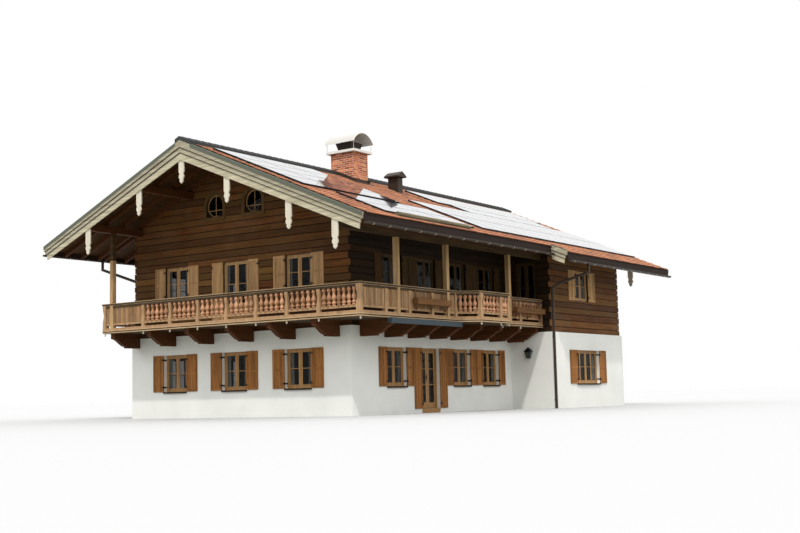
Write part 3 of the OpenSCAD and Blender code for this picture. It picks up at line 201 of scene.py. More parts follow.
class Finish(Nodes):
    """One material: a Principled shader and the nodes that feed it."""

    def __init__(self, name, colour, roughness=0.7, metallic=0.0, shine=0.2, **sockets):
        self.material = bpy.data.materials.new(name)
        self.material.use_nodes = True
        super().__init__(self.material.node_tree)
        self.shader = self.tree.nodes["Principled BSDF"]
        self.set("Base Color", paint(colour))
        self.set("Roughness", roughness)
        self.set("Metallic", metallic)
        self.set("Specular IOR Level", shine)
        for key, value in sockets.items():
            self.set(key.replace("_", " "), value)

    def set(self, socket, value):
        self.feed(self.shader.inputs[socket], value)

    def axis(self, name):
        point = self.node("ShaderNodeTexCoord", output="Object")
        return self.node("ShaderNodeSeparateXYZ", {}, {0: point}, name)

    def noise(self, stretch, detail=4.0, rough=0.55):
        """Noise over the points of the piece, with each axis stretched."""
        point = self.node("ShaderNodeTexCoord", output="Object")
        place = self.node("ShaderNodeMapping", {}, {"Vector": point, "Scale": stretch})
        inputs = {"Vector": place, "Scale": 1.0, "Detail": detail, "Roughness": rough}
        return self.node("ShaderNodeTexNoise", {}, inputs)

    def streak(self, grain):
        """The streaks of wood, from 0 to 1."""
        return self.noise(grain, 5.0, 0.62).clear(0.3, 0.7)

    def mark(self, name="tone"):
        """A number stored with each point of a mesh, such as the tone of its board, from 0 to 1."""
        return self.node("ShaderNodeAttribute", {"attribute_name": name}, {}, "Fac")

    def coat(self, colour, height=None, depth=0.004, strength=0.5):
        """Sets the colour and the bumps, and returns the finish."""
        self.set("Base Color", colour)
        if height:
            inputs = {"Height": height, "Distance": depth, "Strength": strength}
            self.set("Normal", self.node("ShaderNodeBump", {}, inputs))
        return self


# %% [markdown]
# The world is the first tree. It shows white to the camera, to mirrors and through glass, and
# lights everything else with a sky that is darker towards the horizon.


# %% World
def seen(nodes):
    """1 for rays of the camera and of mirrors and glass, 0 for the rays that carry light about."""
    kinds = ("Is Camera Ray", "Is Glossy Ray", "Is Transmission Ray")
    eye, mirror, pane = (nodes.node("ShaderNodeLightPath", output=kind) for kind in kinds)
    return (eye + mirror + pane) > 0.5


sky = Nodes(world.node_tree)
background = world.node_tree.nodes["Background"]
upward = sky.node("ShaderNodeTexCoord", output="Generated")
height = sky.node("ShaderNodeSeparateXYZ", {}, {0: upward}, "Z")
fill = sky.blend(height.clear(*HORIZON_TOP), HORIZON_FILL, SKY_FILL)
sky.feed(background.inputs["Color"], sky.blend(seen(sky), fill, WHITE))
print("world nodes", len(world.node_tree.nodes))

# %% [markdown]
# ## Finishes
# Wood is the main material: dark weathered logs, reddish beams, sun-bleached rails and orange
# stained shutters. All of them are one recipe: noise that is stretched along the grain makes
# streaks, and a broad noise makes weathered patches. Horizontal wood is squeezed in z, upright
# wood in x and y, so that the same recipe serves walls that face any way.

# %% Wood
ALONG_LEVEL, ALONG_UP = (0.8, 0.8, 15.0), (15.0, 15.0, 0.8)
WEATHER_GREY, OTHER_SHARE = (142, 128, 102), 0.55


def wood(name, dark, pale, grain, rough=0.75, toned=0.0, weather=0.0, other=None):
    """Streaks between a dark and a pale colour, with tone from each board, and grey weathering.

    Some boards lean to another colour: the fraction of seven times the tone is as good as a second
    random number.
    """
    made = Finish(name, pale, rough)
    streak = made.streak(grain)
    fine = made.noise([5 * part for part in grain], 2.0).clear(0.35, 0.65)
    colour = made.blend(streak * 0.7 + fine * 0.3, dark, pale)
    if weather:
        patch = made.noise((0.9, 0.9, 1.3)).clear(0.42, 0.62)
        colour = made.blend(patch * weather, colour, WEATHER_GREY)
    if other:
        colour = made.blend((made.mark() * 7).fraction() * OTHER_SHARE, colour, other)
    if toned:
        colour = made.shade(colour, 1 - toned / 2 + made.mark() * toned)
    return made.coat(colour, streak * 0.6 + fine * 0.4)


# %% [markdown]
# Two woods change with their place, and both carry painted shade. The upper frames are painted dark
# under the eave of the side balcony, and the head beam over the posts is painted darker than the
# posts, for the shade of the eave. A comparison of coordinates gives 1 or 0, and products of them
# mark a region.

# %% Woods that change with their place
HEAD_BEAM_H, SHELTER_REACH = 0.20, 0.5


def box(node):
    """Lowest and highest corner of a node, as a (2, 3) array."""
    return np.array(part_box(node))


def painted_shade_region(x, y):
    """1 under the eave of the side balcony, behind the front gable, and 0 elsewhere: where shade is painted.
    """
    low, high = box("log_wall_terrace")
    return (x > low[0] - SHELTER_REACH) * (y > low[1] + SHELTER_REACH) * (y < high[1] + SHELTER_REACH)


def upper_frame_wood():
    """Painted frames, with painted shade: darker where the eave of the side balcony shades them."""
    made = Finish("upper frames", (190, 150, 104), 0.5)
    streak = made.streak(ALONG_UP)
    bleached = made.blend(streak, (146, 108, 70), (196, 156, 108))
    # stained is painted shade: the frames' colour under the side balcony's eave
    stained = made.blend(streak, (54, 38, 18), (92, 68, 36))
    return made.coat(made.blend(painted_shade_region(made.axis("X"), made.axis("Y")), bleached, stained))


def post_wood():
    """Pale posts under a head beam painted darker, as painted shade under the eave."""
    made = Finish("pale posts", (180, 146, 100), 0.75)
    streak = made.streak(ALONG_UP)
    post = made.blend(streak, (144, 112, 74), (200, 166, 122))
    # painted shade: the head beam darker than the posts, for the shade under the eave
    beam = made.blend(made.streak(ALONG_LEVEL), (46, 32, 16), (88, 66, 36))
    above = made.axis("Z") > box("purlins")[0, 2] - HEAD_BEAM_H
    return made.coat(made.blend(above, post, beam), streak)


# %% [markdown]
# Now each wood of the house is one line: a dark and a pale colour, the direction of the grain, and
# how much the boards differ and have greyed.

# %% All woods
finish = dict(
    log_wood=wood("weathered logs", (54, 26, 6), (118, 66, 24), ALONG_LEVEL, toned=0.75, weather=0.12,
                  other=(104, 78, 34)),
    # painted shade: darker logs for the terrace and return walls, which lie in the shade of the eave
    shaded_log=wood("logs in painted shade", (24, 14, 5), (58, 38, 16), ALONG_LEVEL, toned=0.9),
    log_joint=Finish("log joints", (26, 17, 9), 0.95),
    eave_wood=wood("dark eave boards", (28, 20, 16), (52, 39, 31), ALONG_LEVEL),
    casing_wood=wood("arch casings", (72, 50, 26), (114, 86, 48), ALONG_UP),
    dark_wood=wood("stained beams", (58, 30, 12), (100, 58, 26), ALONG_LEVEL),
    soffit_wood=wood("roof boards", (46, 28, 10), (88, 58, 26), (0.8, 0.5, 9.0)),
    rail_wood=wood("bleached rail", (138, 102, 70), (200, 162, 122), ALONG_UP, weather=0.2),
    cap_wood=wood("weathered rail cap", (40, 29, 18), (74, 57, 38), ALONG_LEVEL, weather=0.12),
    strip_wood=wood("pale strips", (150, 122, 90), (202, 174, 138), ALONG_LEVEL),
    turned_wood=wood("turned wood", (148, 102, 72), (206, 158, 122), ALONG_UP, toned=0.5),
    board_wood=wood("upright boards", (108, 78, 50), (172, 134, 96), ALONG_UP, toned=0.7, weather=0.2),
    post_wood=post_wood(),
    shutter_wood=wood("stained shutters", (108, 66, 30), (172, 116, 62), ALONG_UP, toned=0.6),
    upper_shutter_wood=wood("pale shutters", (146, 108, 70), (204, 164, 116), ALONG_UP, toned=0.4),
    # painted shade: darker shutters for the upper leaves under the side balcony's eave
    shade_painted_shutter=wood("shutters in painted shade", (52, 36, 16), (98, 72, 38), ALONG_UP, toned=0.5),
    frame_wood=wood("window frames", (132, 94, 54), (184, 142, 92), ALONG_UP, rough=0.5),
    upper_frame_wood=upper_frame_wood(),
    guard_wood=wood("weathered log", (76, 70, 52), (138, 128, 102), (9.0, 0.8, 9.0)),
    carved_wood=wood("painted boards", (194, 185, 166), (228, 220, 203), ALONG_UP),
    floor_wood=wood("floor boards", (120, 86, 56), (168, 128, 88), (0.8, 9.0, 9.0)),
    box_wood=wood("flower box boards", (86, 56, 30), (132, 92, 54), ALONG_LEVEL),
)
print("woods", len(finish))

# %% [markdown]
# Plaster is nearly white, with a fine grain that catches the light. Clay tiles differ from one
# to the next, and old ones carry darker patches. Bricks and mortar, sheet metal, stone and
# concrete are close to plain colours. Panes and solar panels are dark and very smooth, so that
# they take their look from what they mirror.

# %% Stone, clay, metal and glass
PLASTER, PLASTER_PATCH = (240, 240, 236), (228, 229, 224)
PAINTED_ROLL_HIGHLIGHT, ROLL_HIGHLIGHT_SHARE, GROOVE_SHADE_SHARE = (218, 172, 142), 0.40, 0.22
CLAY_PATCH, PATCH_SHARE = (120, 92, 74), 0.35
CELL_LINE = 0.05
FLOOR_SEEN, FLOOR_BOUNCE = (0.50, 0.50, 0.50, 1.0), (0.30, 0.30, 0.27, 1.0)


def plaster():
    made = Finish("lime plaster", PLASTER, 0.9)
    patch = made.noise((0.7, 0.7, 0.7)).clear(0.35, 0.75)
    grain = made.noise((38, 38, 38), 3.0)
    return made.coat(made.blend(patch, PLASTER, PLASTER_PATCH), grain, strength=0.35)


def clay(name, dark, middle, pale, grooved=False):
    """Baked clay with a tone for each tile or brick.

    Tiles get a painted highlight on their rolls and painted shade in their grooves.
    """
    made = Finish(name, middle, 0.8)
    tone = made.mark()
    patch = made.noise((1.1, 1.1, 1.1), 5.0).clear(0.45, 0.75)
    colour = made.blend(tone.clear(0.0, 0.6), dark, middle)
    colour = made.blend(tone.clear(0.6, 1.0), colour, pale)
    colour = made.blend(patch * PATCH_SHARE, colour, CLAY_PATCH)
    if grooved:
        relief = made.mark("relief")
        # painted highlight on the rolls, then painted shade in the grooves
        colour = made.blend(relief.clear(0.5, 1.0) * ROLL_HIGHLIGHT_SHARE, colour, PAINTED_ROLL_HIGHLIGHT)
        colour = made.shade(colour, GROOVE_SHADE_SHARE + relief * (1 - GROOVE_SHADE_SHARE))
    return made.coat(colour, made.noise((60, 60, 60), 2.0), 0.003, 0.4)


def solar_glass():
    """Dark cells with fine pale lines between them, from the panel's own UV map."""
    made = Finish("solar glass", (30, 36, 52), 0.08, Coat_Weight=1.0, Coat_Roughness=0.03)
    point = made.node("ShaderNodeUVMap", {"uv_map": "cells"}, {}, "UV")
    across, down = (made.node("ShaderNodeSeparateXYZ", {}, {0: point}, axis).fraction() for axis in "XY")
    line = (across < CELL_LINE) + (down < CELL_LINE)
    return made.coat(made.blend(line.clear(0.0, 1.0), (34, 42, 62), (150, 160, 172)))


def floor_finish():
    """A pale floor to the eye, and a dull one to the light that it throws back."""
    made = Finish("floor", FLOOR_SEEN, 0.9)
    return made.coat(made.blend(seen(made), FLOOR_BOUNCE, FLOOR_SEEN))


finish.update(
    plaster=plaster(),
    roof_tile=clay("clay tiles", (98, 53, 35), (156, 84, 50), (188, 120, 80), grooved=True),
    brick=clay("bricks", (150, 72, 42), (204, 112, 66), (228, 154, 108)),
    mortar=Finish("mortar", (222, 208, 190), 0.95),
    concrete=Finish("concrete", (150, 150, 146), 0.9),
    cap_stone=Finish("cast slab", (226, 224, 218), 0.8),
    window_glass=Finish("window glass", (12, 16, 14), 0.03, shine=0.16, Alpha=0.45),
    cloth=Finish("curtains", (240, 240, 234), 0.9),
    solar_cell=solar_glass(),
    hook_metal=Finish("pale hooks", (196, 192, 180), 0.5, 0.4),
    # dark edges: partly the panels' dark frames, partly painted shadow under the raised panels
    panel_edge=Finish("panel edges and painted shadow", (34, 34, 38), 0.5, 0.3),
    ridge_metal=Finish("ridge sheet", (60, 62, 61), 0.7),
    gutter_metal=Finish("gutter sheet", (64, 54, 46), 0.45, 0.3),
    verge_sheet=Finish("verge sheet", (94, 98, 86), 0.7),
    zinc_sheet=Finish("zinc sheet", (196, 194, 188), 0.5, 0.2),
    # a plain dark sheet for the collar under the hood
    soot_sheet=Finish("dark collar sheet", (52, 44, 38), 0.7),
    awning_metal=Finish("awning case", (62, 74, 80), 0.5, 0.2),
    lantern_metal=Finish("black iron", (34, 34, 36), 0.5, 0.5),
    lamp_glass=Finish("lamp glass", (74, 82, 76), 0.2),
    floor=floor_finish(),
)
print("finishes", len(finish))

# %% [markdown]
# Each solid piece takes the finish that its record names, or one of its own from this table. The
# verge boards come later, because their finish depends on the slope of the roof.

# %% Dress the solid pieces
OWN_FINISH = dict(
    roof_left="soffit_wood", roof_right="soffit_wood", chimney_stack="mortar",
    balcony_posts="post_wood", balcony_panels="board_wood", post_drops="carved_wood",
    upper_window_frames="upper_frame_wood", window_sills="eave_wood",
    solar_panels="panel_edge", balcony_deck="cap_wood", snow_guard="guard_wood",
    verge_caps="verge_sheet", fascia_boards="eave_wood", chimney_hood="zinc_sheet",
)


def dress(node, look):
    """Gives all slots of a solid the same finish."""
    solid = frame["nodes"][node]
    if not solid.material_slots:
        solid.data.materials.append(finish[look].material)
    for place in solid.material_slots:
        place.material = finish[look].material


for row in frame["record"]["subparts"]:
    node = row["node"]
    own = "log_joint" if node.startswith("log_") else row["material_slot"]
    if node != "verge_boards":
        dress(node, OWN_FINISH.get(node, own))

# %% [markdown]
# ## Reading the solid model
# A node such as the window frames holds many separate solids. Their boxes say where each bar,
# hinge or board has to go, so nothing is placed by hand. Corners that coincide are joined first;
# then each corner takes the lowest number along its edges until nothing changes.


# %% Boxes round the solids of a node
def node_points(node):
    """All corners of a node's mesh as an (n, 3) array."""
    held = frame["nodes"][node].data.vertices
    flat = np.empty(len(held) * 3)
    held.foreach_get("co", flat)
    return flat.reshape(-1, 3)


def solids(node):
    """Lowest and highest corners of each separate solid of a node, as an (n, 2, 3) array."""
    points = node_points(node)
    held = frame["nodes"][node].data.edges
    edges = np.empty(len(held) * 2, dtype=np.int32)
    held.foreach_get("vertices", edges)
    _, same = np.unique(np.round(points, 5), axis=0, return_inverse=True)
    same = same.reshape(-1)
    first, second = same[edges.reshape(-1, 2)].T
    label, before = np.arange(same.max() + 1), None
    while before is None or (label != before).any():
        before = label.copy()
        np.minimum.at(label, first, label[second])
        np.minimum.at(label, second, label[first])
        label = label[label]
    groups = [points[label[same] == one] for one in np.unique(label)]
    return np.array([(group.min(0), group.max(0)) for group in groups])


WALL_REAR = box("rear_wall")[0, 1]
HOUSE_MIDDLE = (box("left_wall")[0, 0] + box("terrace_wall")[1, 0]) / 2
UP = np.array([0.0, 0.0, 1.0])


class Face:
    """A place on a wall: x runs right as seen from outside, y up and z out of the wall.

    It is made from the lowest and highest corner of a solid. The axis that points out is the thin
    one and the side is the one away from the middle of the house, unless they are given.
    """

    def __init__(self, low, high, thin=None, side=None):
        size, middle = high - low, (low + high) / 2
        if thin is None:
            thin = 0 if size[0] < size[1] else 1
        if side is None:
            side = math.copysign(1.0, middle[thin] - (HOUSE_MIDDLE, WALL_REAR)[thin])
        out = np.zeros(3)
        out[thin] = side
        self.axes = np.array([np.cross(UP, out), UP, out])
        self.origin = middle + out * size[thin] / 2 - UP * size[2] / 2
        self.width, self.height, self.depth = size[1 - thin], size[2], size[thin]


def faces_of(node):
    """One face for each solid of a node."""
    return [Face(*corners) for corners in solids(node)]


print("window frames", len(solids("ground_window_frames")), len(solids("upper_window_frames")))

# %% [markdown]
# ## Blocks
# Boards, bars and bricks are all blocks with eight corners. A block is written as a low and a
# high corner on a face, and the face's axes carry it to its place. Each block keeps one random
# tone, which its finish reads, and a small bevel takes the hard edge off. Where two faces would
# lie in one plane, one of them steps back by a hair.

# %% Block helpers
CORNER_ORDER = np.array([
    [0, 0, 0], [1, 0, 0], [1, 1, 0], [0, 1, 0], [0, 0, 1], [1, 0, 1], [1, 1, 1], [0, 1, 1]])
BLOCK_FACES = np.array([
    [0, 3, 2, 1], [4, 5, 6, 7], [0, 1, 5, 4], [1, 2, 6, 5], [2, 3, 7, 6], [3, 0, 4, 7]])
# the corners of a block that has been mirrored in x, so that its faces still look outward
MIRRORED = [1, 0, 3, 2, 5, 4, 7, 6]
HAIR = 0.001


def block(x0, x1, y0, y1, z0, z1, face=None):
    """Eight corners of a block, in house axes or on a face."""
    low, high = np.array([x0, y0, z0]), np.array([x1, y1, z1])
    corners = low + (high - low) * CORNER_ORDER
    return corners if face is None else face.origin + corners @ face.axes


def bar(face, x, y, width, height, z0, z1):
    """A block on a face, about its middle (x, y)."""
    return block(x - width / 2, x + width / 2, y - height / 2, y + height / 2, z0, z1, face)


def put(name, look, points, faces, slot, body="house", smooth=False, bevel=0.0, **marks):
    """Makes one piece from points and faces, with its finish, and lets it ride on a body.

    Each mark is a number for every point, such as a tone, which a finish can read by its name.
    """
    mesh = bpy.data.meshes.new(name)
    mesh.from_pydata(points.tolist(), [], faces if isinstance(faces, list) else faces.tolist())
    for mark, values in marks.items():
        mesh.attributes.new(mark, "FLOAT", "POINT").data.foreach_set("value", values.astype(np.float32))
    mesh.materials.append(finish[look].material)
    mesh.polygons.foreach_set("use_smooth", [smooth] * len(mesh.polygons))
    mesh.update()
    made = bpy.data.objects.new(name, mesh)
    bpy.context.collection.objects.link(made)
    if bevel:
        edge = made.modifiers.new("soft edge", "BEVEL")
        edge.width = bevel
        edge.segments = 1
        edge.limit_method = "ANGLE"
    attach(made, body)
    print(name, len(mesh.polygons), "faces")
    return made


def put_blocks(name, look, blocks, slot, body="house", bevel=0.0):
    """One piece from many blocks, each with its own tone."""
    faces = BLOCK_FACES + 8 * np.arange(len(blocks))[:, None, None]
    tone = np.repeat(rng.random(len(blocks)), 8)
    return put(name, look, np.concatenate(blocks), faces.reshape(-1, 4), slot, body, bevel=bevel, tone=tone)


# %% [markdown]
# ## Windows
# Each window has two casements with a cross bar, set in a fixed frame. The solid model holds the
# frame with its middle post and the panes. The sash bars go over the panes, and a balcony door
# gets a closed panel below. A wide window has two casements on each side of its post.

# %% Window bars
SASH_W, BAR_W, FRAME_W = 0.045, 0.026, 0.075
SASH_BACK, SASH_FRONT = -0.030, -0.008
DOOR_OVER, DOOR_PANEL_H, WIDE_OVER = 1.8, 0.62, 1.5
ARCH_Z, ARCH_EDGE, ARCH_BAR_Y = 6.5, 0.03, 0.233


def sash(face, x0, x1, y0, y1):
    """A casement: four sides and a cross bar at half its height."""
    middle = (y0 + y1) / 2
    spans = (
        (x0, x1, y0, y0 + SASH_W, 0),
        (x0, x1, y1 - SASH_W, y1, 0),
        (x0, x0 + SASH_W, y0, y1, 1),
        (x1 - SASH_W, x1, y0, y1, 1),
        (x0, x1, middle - BAR_W / 2, middle + BAR_W / 2, 4),
    )
    return [block(*span, SASH_BACK, SASH_FRONT - hairs * HAIR, face) for *span, hairs in spans]


def window_bars(face):
    """All casements of a window, and the closed panels of a balcony door."""
    if face.origin[2] > ARCH_Z:
        tall, wide = face.height - 2 * ARCH_EDGE, face.width - 2 * ARCH_EDGE
        return [bar(face, 0, face.height / 2, BAR_W, tall, SASH_BACK, SASH_FRONT),
                bar(face, 0, ARCH_BAR_Y, wide, BAR_W, SASH_BACK, SASH_FRONT - HAIR)]
    edge, low, made = face.width / 2 - FRAME_W, FRAME_W, []
    sides = ((-edge, -FRAME_W / 2), (FRAME_W / 2, edge))
    if face.height > DOOR_OVER:
        low += DOOR_PANEL_H
        made += [block(*side, FRAME_W, low, SASH_BACK, SASH_FRONT - 6 * HAIR, face) for side in sides]
    for x0, x1 in sides:
        for left, right in pairwise(np.linspace(x0, x1, 3 if face.width > WIDE_OVER else 2)):
            made += sash(face, left, right, low, face.height - FRAME_W)
    return made


for storey, look in (("ground", "frame_wood"), ("upper", "upper_frame_wood")):
    bars = [one for face in faces_of(f"{storey}_window_frames") for one in window_bars(face)]
    put_blocks(f"{storey}_window_bars", look, bars, "frame_wood", bevel=0.003)

# %% [markdown]
# ## Shutters
# A shutter is a frame of two stiles and three rails, filled with upright boards that lie deeper
# than the frame. The plain boards of the solid model give the outer size of each leaf, and the
# joined leaves take their place. Black strap hinges hold each leaf at the window side.

# %% Shutters
STILE_W, MIDDLE_RAIL, FIELD_DROP, BOARDS = 0.07, 0.48, 0.012, 3
HINGE_LEN, HINGE_H, HINGE_THK, HINGE_END = 0.09, 0.028, 0.006, 0.16
KNUCKLE_W, KNUCKLE_H, KNUCKLE_IN, KNUCKLE_OUT = 0.028, 0.10, -0.002, 0.016
IRON_H, IRON_THK, IRON_PAST = 0.05, 0.005, 0.004
REVEAL = box("ground_shutters")[1, 0] - box("ground_window_frames")[1, 0]


def shutter(face):
    """The frame and the upright boards of one leaf. Its face lies at z = 0."""
    half, tall, back = face.width / 2, face.height, -face.depth
    inner = half - STILE_W
    made = [block(-half, -inner, 0, tall, back, 0, face), block(inner, half, 0, tall, back, 0, face)]
    for y in (STILE_W / 2, tall * MIDDLE_RAIL, tall - STILE_W / 2):
        made.append(bar(face, 0, y, 2 * inner, STILE_W, back, -HAIR))
    for x0, x1 in pairwise(np.linspace(-inner, inner, BOARDS + 1)):
        made.append(block(x0 + HAIR, x1 - HAIR, STILE_W, tall - STILE_W, back, -FIELD_DROP, face))
    return made


def hinges(face, side):
    """Two straps that start at the window side of a leaf: side is 1 where that is its right edge."""
    edge, made = side * face.width / 2, []
    for y in (HINGE_END, face.height - HINGE_END):
        made.append(bar(face, edge - side * HINGE_LEN / 2, y, HINGE_LEN, HINGE_H, 0.0, HINGE_THK))
        made.append(bar(face, edge, y, KNUCKLE_W, KNUCKLE_H, KNUCKLE_IN, KNUCKLE_OUT))
    return made


def reveal_irons(face):
    """Flat irons that run from the shutters back into the opening, two at each side."""
    x = face.width / 2 - HAIR - IRON_THK / 2
    return [bar(face, side * x, y, IRON_THK, IRON_H, HAIR, REVEAL + IRON_PAST)
            for side in (-1, 1) for y in (HINGE_END, face.height - HINGE_END)]


straps = []
for storey, look in (("ground", "shutter_wood"), ("upper", "upper_shutter_wood")):
    leaves, painted_shade_leaves = [], []
    windows = faces_of(f"{storey}_window_frames")
    if storey == "ground":
        straps += [iron for face in windows for iron in reveal_irons(face)]
        windows += faces_of("terrace_door_frame")[:1]
    for face in faces_of(f"{storey}_shutters"):
        # upper leaves under the side balcony's eave take the shutters with painted shade
        shaded = storey == "upper" and painted_shade_region(*face.origin[:2])
        (painted_shade_leaves if shaded else leaves).extend(shutter(face))
        nearest = min(windows, key=lambda window: np.linalg.norm(window.origin[:2] - face.origin[:2]))
        straps += hinges(face, math.copysign(1, (nearest.origin - face.origin) @ face.axes[0]))
    made = put_blocks(f"{storey}_shutter_leaves", look, leaves, look, bevel=0.003)
    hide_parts(f"{storey}_shutters")
    if painted_shade_leaves:
        put_blocks("shutter_leaves_in_painted_shade", "shade_painted_shutter", painted_shade_leaves, look, bevel=0.003)
put_blocks("shutter_hinges", "lantern_metal", straps, "lantern_metal")

# %% [markdown]
# ## Slope of the roof
# Logs end under the roof, and tiles, verge and panels lie on it. So its ridge, its slope and the
# thickness of its boards are read from the mesh of the left half first.

# %% Slope of the roof
ON_EDGE = 1e-3
roof_points = node_points("roof_left")
RIDGE_X, RIDGE_Z = roof_points[roof_points[:, 2].argmax()][[0, 2]]
eave_points = roof_points[roof_points[:, 0] < roof_points[:, 0].min() + ON_EDGE]
LEFT_EAVE_X, LEFT_EAVE_Z = eave_points[:, 0].min(), eave_points[:, 2].max()
SLOPE = (RIDGE_Z - LEFT_EAVE_Z) / (RIDGE_X - LEFT_EAVE_X)
PITCH = math.atan(SLOPE)
DECK_DROP = LEFT_EAVE_Z - eave_points[:, 2].min()
print("pitch", round(math.degrees(PITCH), 2), "ridge", RIDGE_X, RIDGE_Z)

# %% [markdown]
# ## Log courses
# The upper storey is built of squared logs. From outside one sees the courses, each with a soft
# edge, and a dark joint between them. Each course is a row of blocks that stand a little proud of
# the wall, cut where a window or a door sits, and slanted at their ends under a gable's slope.

# %% One log and one hole
PROUD, LOG_BACK, END_STEPS, PEAK_HALF, ATTIC_LOW = 0.018, -0.004, 400, 0.01, 2.5
UNDER_ROOF, UNDER_DECK = 0.02, 0.005


def under_slope(face, x):
    """Height that logs may reach at places x on a wall across the house: the roof boards over it."""
    house_x = face.origin[0] + x * face.axes[0, 0]
    return RIDGE_Z - SLOPE * abs(house_x - RIDGE_X) - DECK_DROP - face.origin[2] - UNDER_DECK


def under_eave(face, x):
    """The same on a side wall, where the height is one number."""
    return np.full(np.shape(x), face.height - UNDER_ROOF)


def log_block(face, x0, x1, y0, y1, top):
    """One log between two ends, in a list. top(face, x) is the height that it may reach at x."""
    steps = np.linspace(x0, x1, END_STEPS)
    limit = top(face, steps)
    under_low, under_high = steps[limit > y0 + PEAK_HALF], steps[limit > y1]
    if len(under_low) == 0:
        return []
    if len(under_high) == 0:
        peak = steps[limit.argmax()]
        under_high, y1 = np.array([peak - PEAK_HALF, peak + PEAK_HALF]), limit.max()
    ends = (under_low.min(), under_low.max(), under_high.max(), under_high.min())
    corners = np.array([[x, y, z] for z in (LOG_BACK, PROUD) for x, y in zip(ends, (y0, y0, y1, y1))])
    return [face.origin + corners @ face.axes]


def hole_half(hole, height):
    """Half the width of an opening at a height: an attic window narrows along its round head."""
    (x0, low, _), (x1, high, _) = hole
    half = (x1 - x0) / 2
    if low < ATTIC_LOW:
        return half
    rise = min(max(0.0, (height - (high - half)) / half), 1.0)
    return half * math.sqrt(1 - rise**2)


# %% [markdown]
# A course is cut at both sides of each opening that it meets. Between them, what stays is the part
# below the opening and the part above it, if it is high enough to be a log.

# %% One course
LOG_LEAST = 0.03


def log_course(face, start, end, y0, y1, holes, top):
    """The logs of one course, from its start to its end, round the holes of the wall."""
    cuts, made = [], []
    for low, high in holes:
        if low[1] < y1 and high[1] > y0:
            middle, half = (low[0] + high[0]) / 2, hole_half((low, high), y0)
            cuts.append((middle - half, middle + half, low[1], high[1]))
    ends = sorted({start, end, *(x for cut in cuts for x in cut[:2] if start <= x <= end)})
    for x0, x1 in pairwise(ends):
        spans = [(y0, y1)]
        for left, right, low, high in cuts:
            if left < (x0 + x1) / 2 < right:
                spans = [(y0, min(y1, low)), (max(y0, high), y1)]
        for low, high in spans:
            if high - low > LOG_LEAST:
                made += log_block(face, x0, x1, low, high, top)
    return made


# %% [markdown]
# The joints run at the same heights all round the house. At the corners the logs of two walls
# reach past each other in turn, and the logs of the side walls run as far as the front ones stand
# proud.

# %% Log courses
COURSE, COURSE_SPREAD, COURSE_COUNT, LOG_GAP, LOG_SOFT = 0.235, 0.025, 30, 0.020, 0.016
LOG_HEAD, IN_WALL = 0.05, 0.3
# For each log wall: the axis that points out (0 is x, 1 is y), its side, and its finish.
LOG_WALLS = {
    "log_gable_front": (1, -1, "log_wood"), "log_gable_rear": (1, 1, "log_wood"),
    "log_wall_left": (0, -1, "log_wood"), "log_wall_wing": (0, 1, "log_wood"),
    # the terrace and return walls take the logs with painted shade
    "log_wall_terrace": (0, 1, "shaded_log"), "log_wall_return": (1, -1, "shaded_log"),
}
upper_frames = solids("upper_window_frames")
front_y, rear_y = box("log_gable_front")[0, 1], box("log_gable_rear")[1, 1]
return_y = box("log_wall_return")[0, 1]
# where the logs of each side wall end, along y
WALL_ENDS = {
    "log_wall_left": (front_y - PROUD, rear_y + PROUD),
    "log_wall_terrace": (front_y - PROUD, return_y),
    "log_wall_wing": (return_y - PROUD, rear_y + PROUD),
}
# heights of the joints over the foot of the walls
COURSES = np.cumsum([0.0, *(COURSE + rng.uniform(-COURSE_SPREAD, COURSE_SPREAD, COURSE_COUNT))])
logs = {"log_wood": [], "shaded_log": []}
for node, (thin, side, look) in LOG_WALLS.items():
    face = Face(*box(node), thin, side)
    spots = np.sort((upper_frames - face.origin) @ face.axes.T, axis=1)
    middle_x, _, middle_z = spots.mean(1).T
    holes = spots[(abs(middle_z) < IN_WALL) & (abs(middle_x) < face.width / 2)]
    left, right, top = -face.width / 2, face.width / 2, under_slope
    if node in WALL_ENDS:
        left, right = sorted(face.axes[0, 1] * (y - face.origin[1]) for y in WALL_ENDS[node])
        top = under_eave
    for row, (y0, y1) in enumerate(zip(COURSES[:-1], COURSES[1:] - LOG_GAP)):
        if y0 > face.height:
            break
        head = LOG_HEAD if (row + thin) % 2 else 0.0
        logs[look] += log_course(face, left - head, right + head, y0, y1, holes, top)
put_blocks("log_courses", "log_wood", logs["log_wood"], "log_wood", bevel=LOG_SOFT)
put_blocks("painted_shade_log_courses", "shaded_log", logs["shaded_log"], "log_wood", bevel=LOG_SOFT)

# %% [markdown]
# ## Skins
# Everything that isn't a block is a grid of points with a quad between each four neighbours. A
# grid that closes on itself is a tube, with a flat face at each end.


# %% Grids and tubes
def grid_faces(rows, columns, ring=False, loop=False):
    """Quads of a grid as a (rows, columns, 4) array. Ring closes its columns, loop its rows."""
    index = np.arange(rows * columns).reshape(rows, columns)
    beside = np.roll(index, -1, axis=1)
    quads = np.stack([index, beside, np.roll(beside, -1, axis=0), np.roll(index, -1, axis=0)], axis=-1)
    return quads[:rows if loop else -1, :columns if ring else -1]


def tube(grid, inward=False):
    """Points and faces of a closed skin over rings of points. Inward turns all faces round."""
    rows, columns = grid.shape[:2]
    quads = grid_faces(rows, columns, ring=True).reshape(-1, 4)
    first, last = np.arange(columns)[::-1], np.arange(columns) + (rows - 1) * columns
    if inward:
        quads, first, last = quads[:, [0, 3, 2, 1]], first[::-1], last[::-1]
    return grid.reshape(-1, 3), [*quads.tolist(), first.tolist(), last.tolist()]


def join(parts):
    """Several (points, faces) pairs as one."""
    points, faces, start = [], [], 0
    for part_points, part_faces in parts:
        points.append(part_points)
        faces += [[corner + start for corner in face] for face in part_faces]
        start += len(part_points)
    return np.vstack(points), faces


# %% [markdown]
# The first tubes are the casings of the attic windows, which have round heads. The outlines of a
# casing are the same half circle with two radii, and points on them pair up into quads.

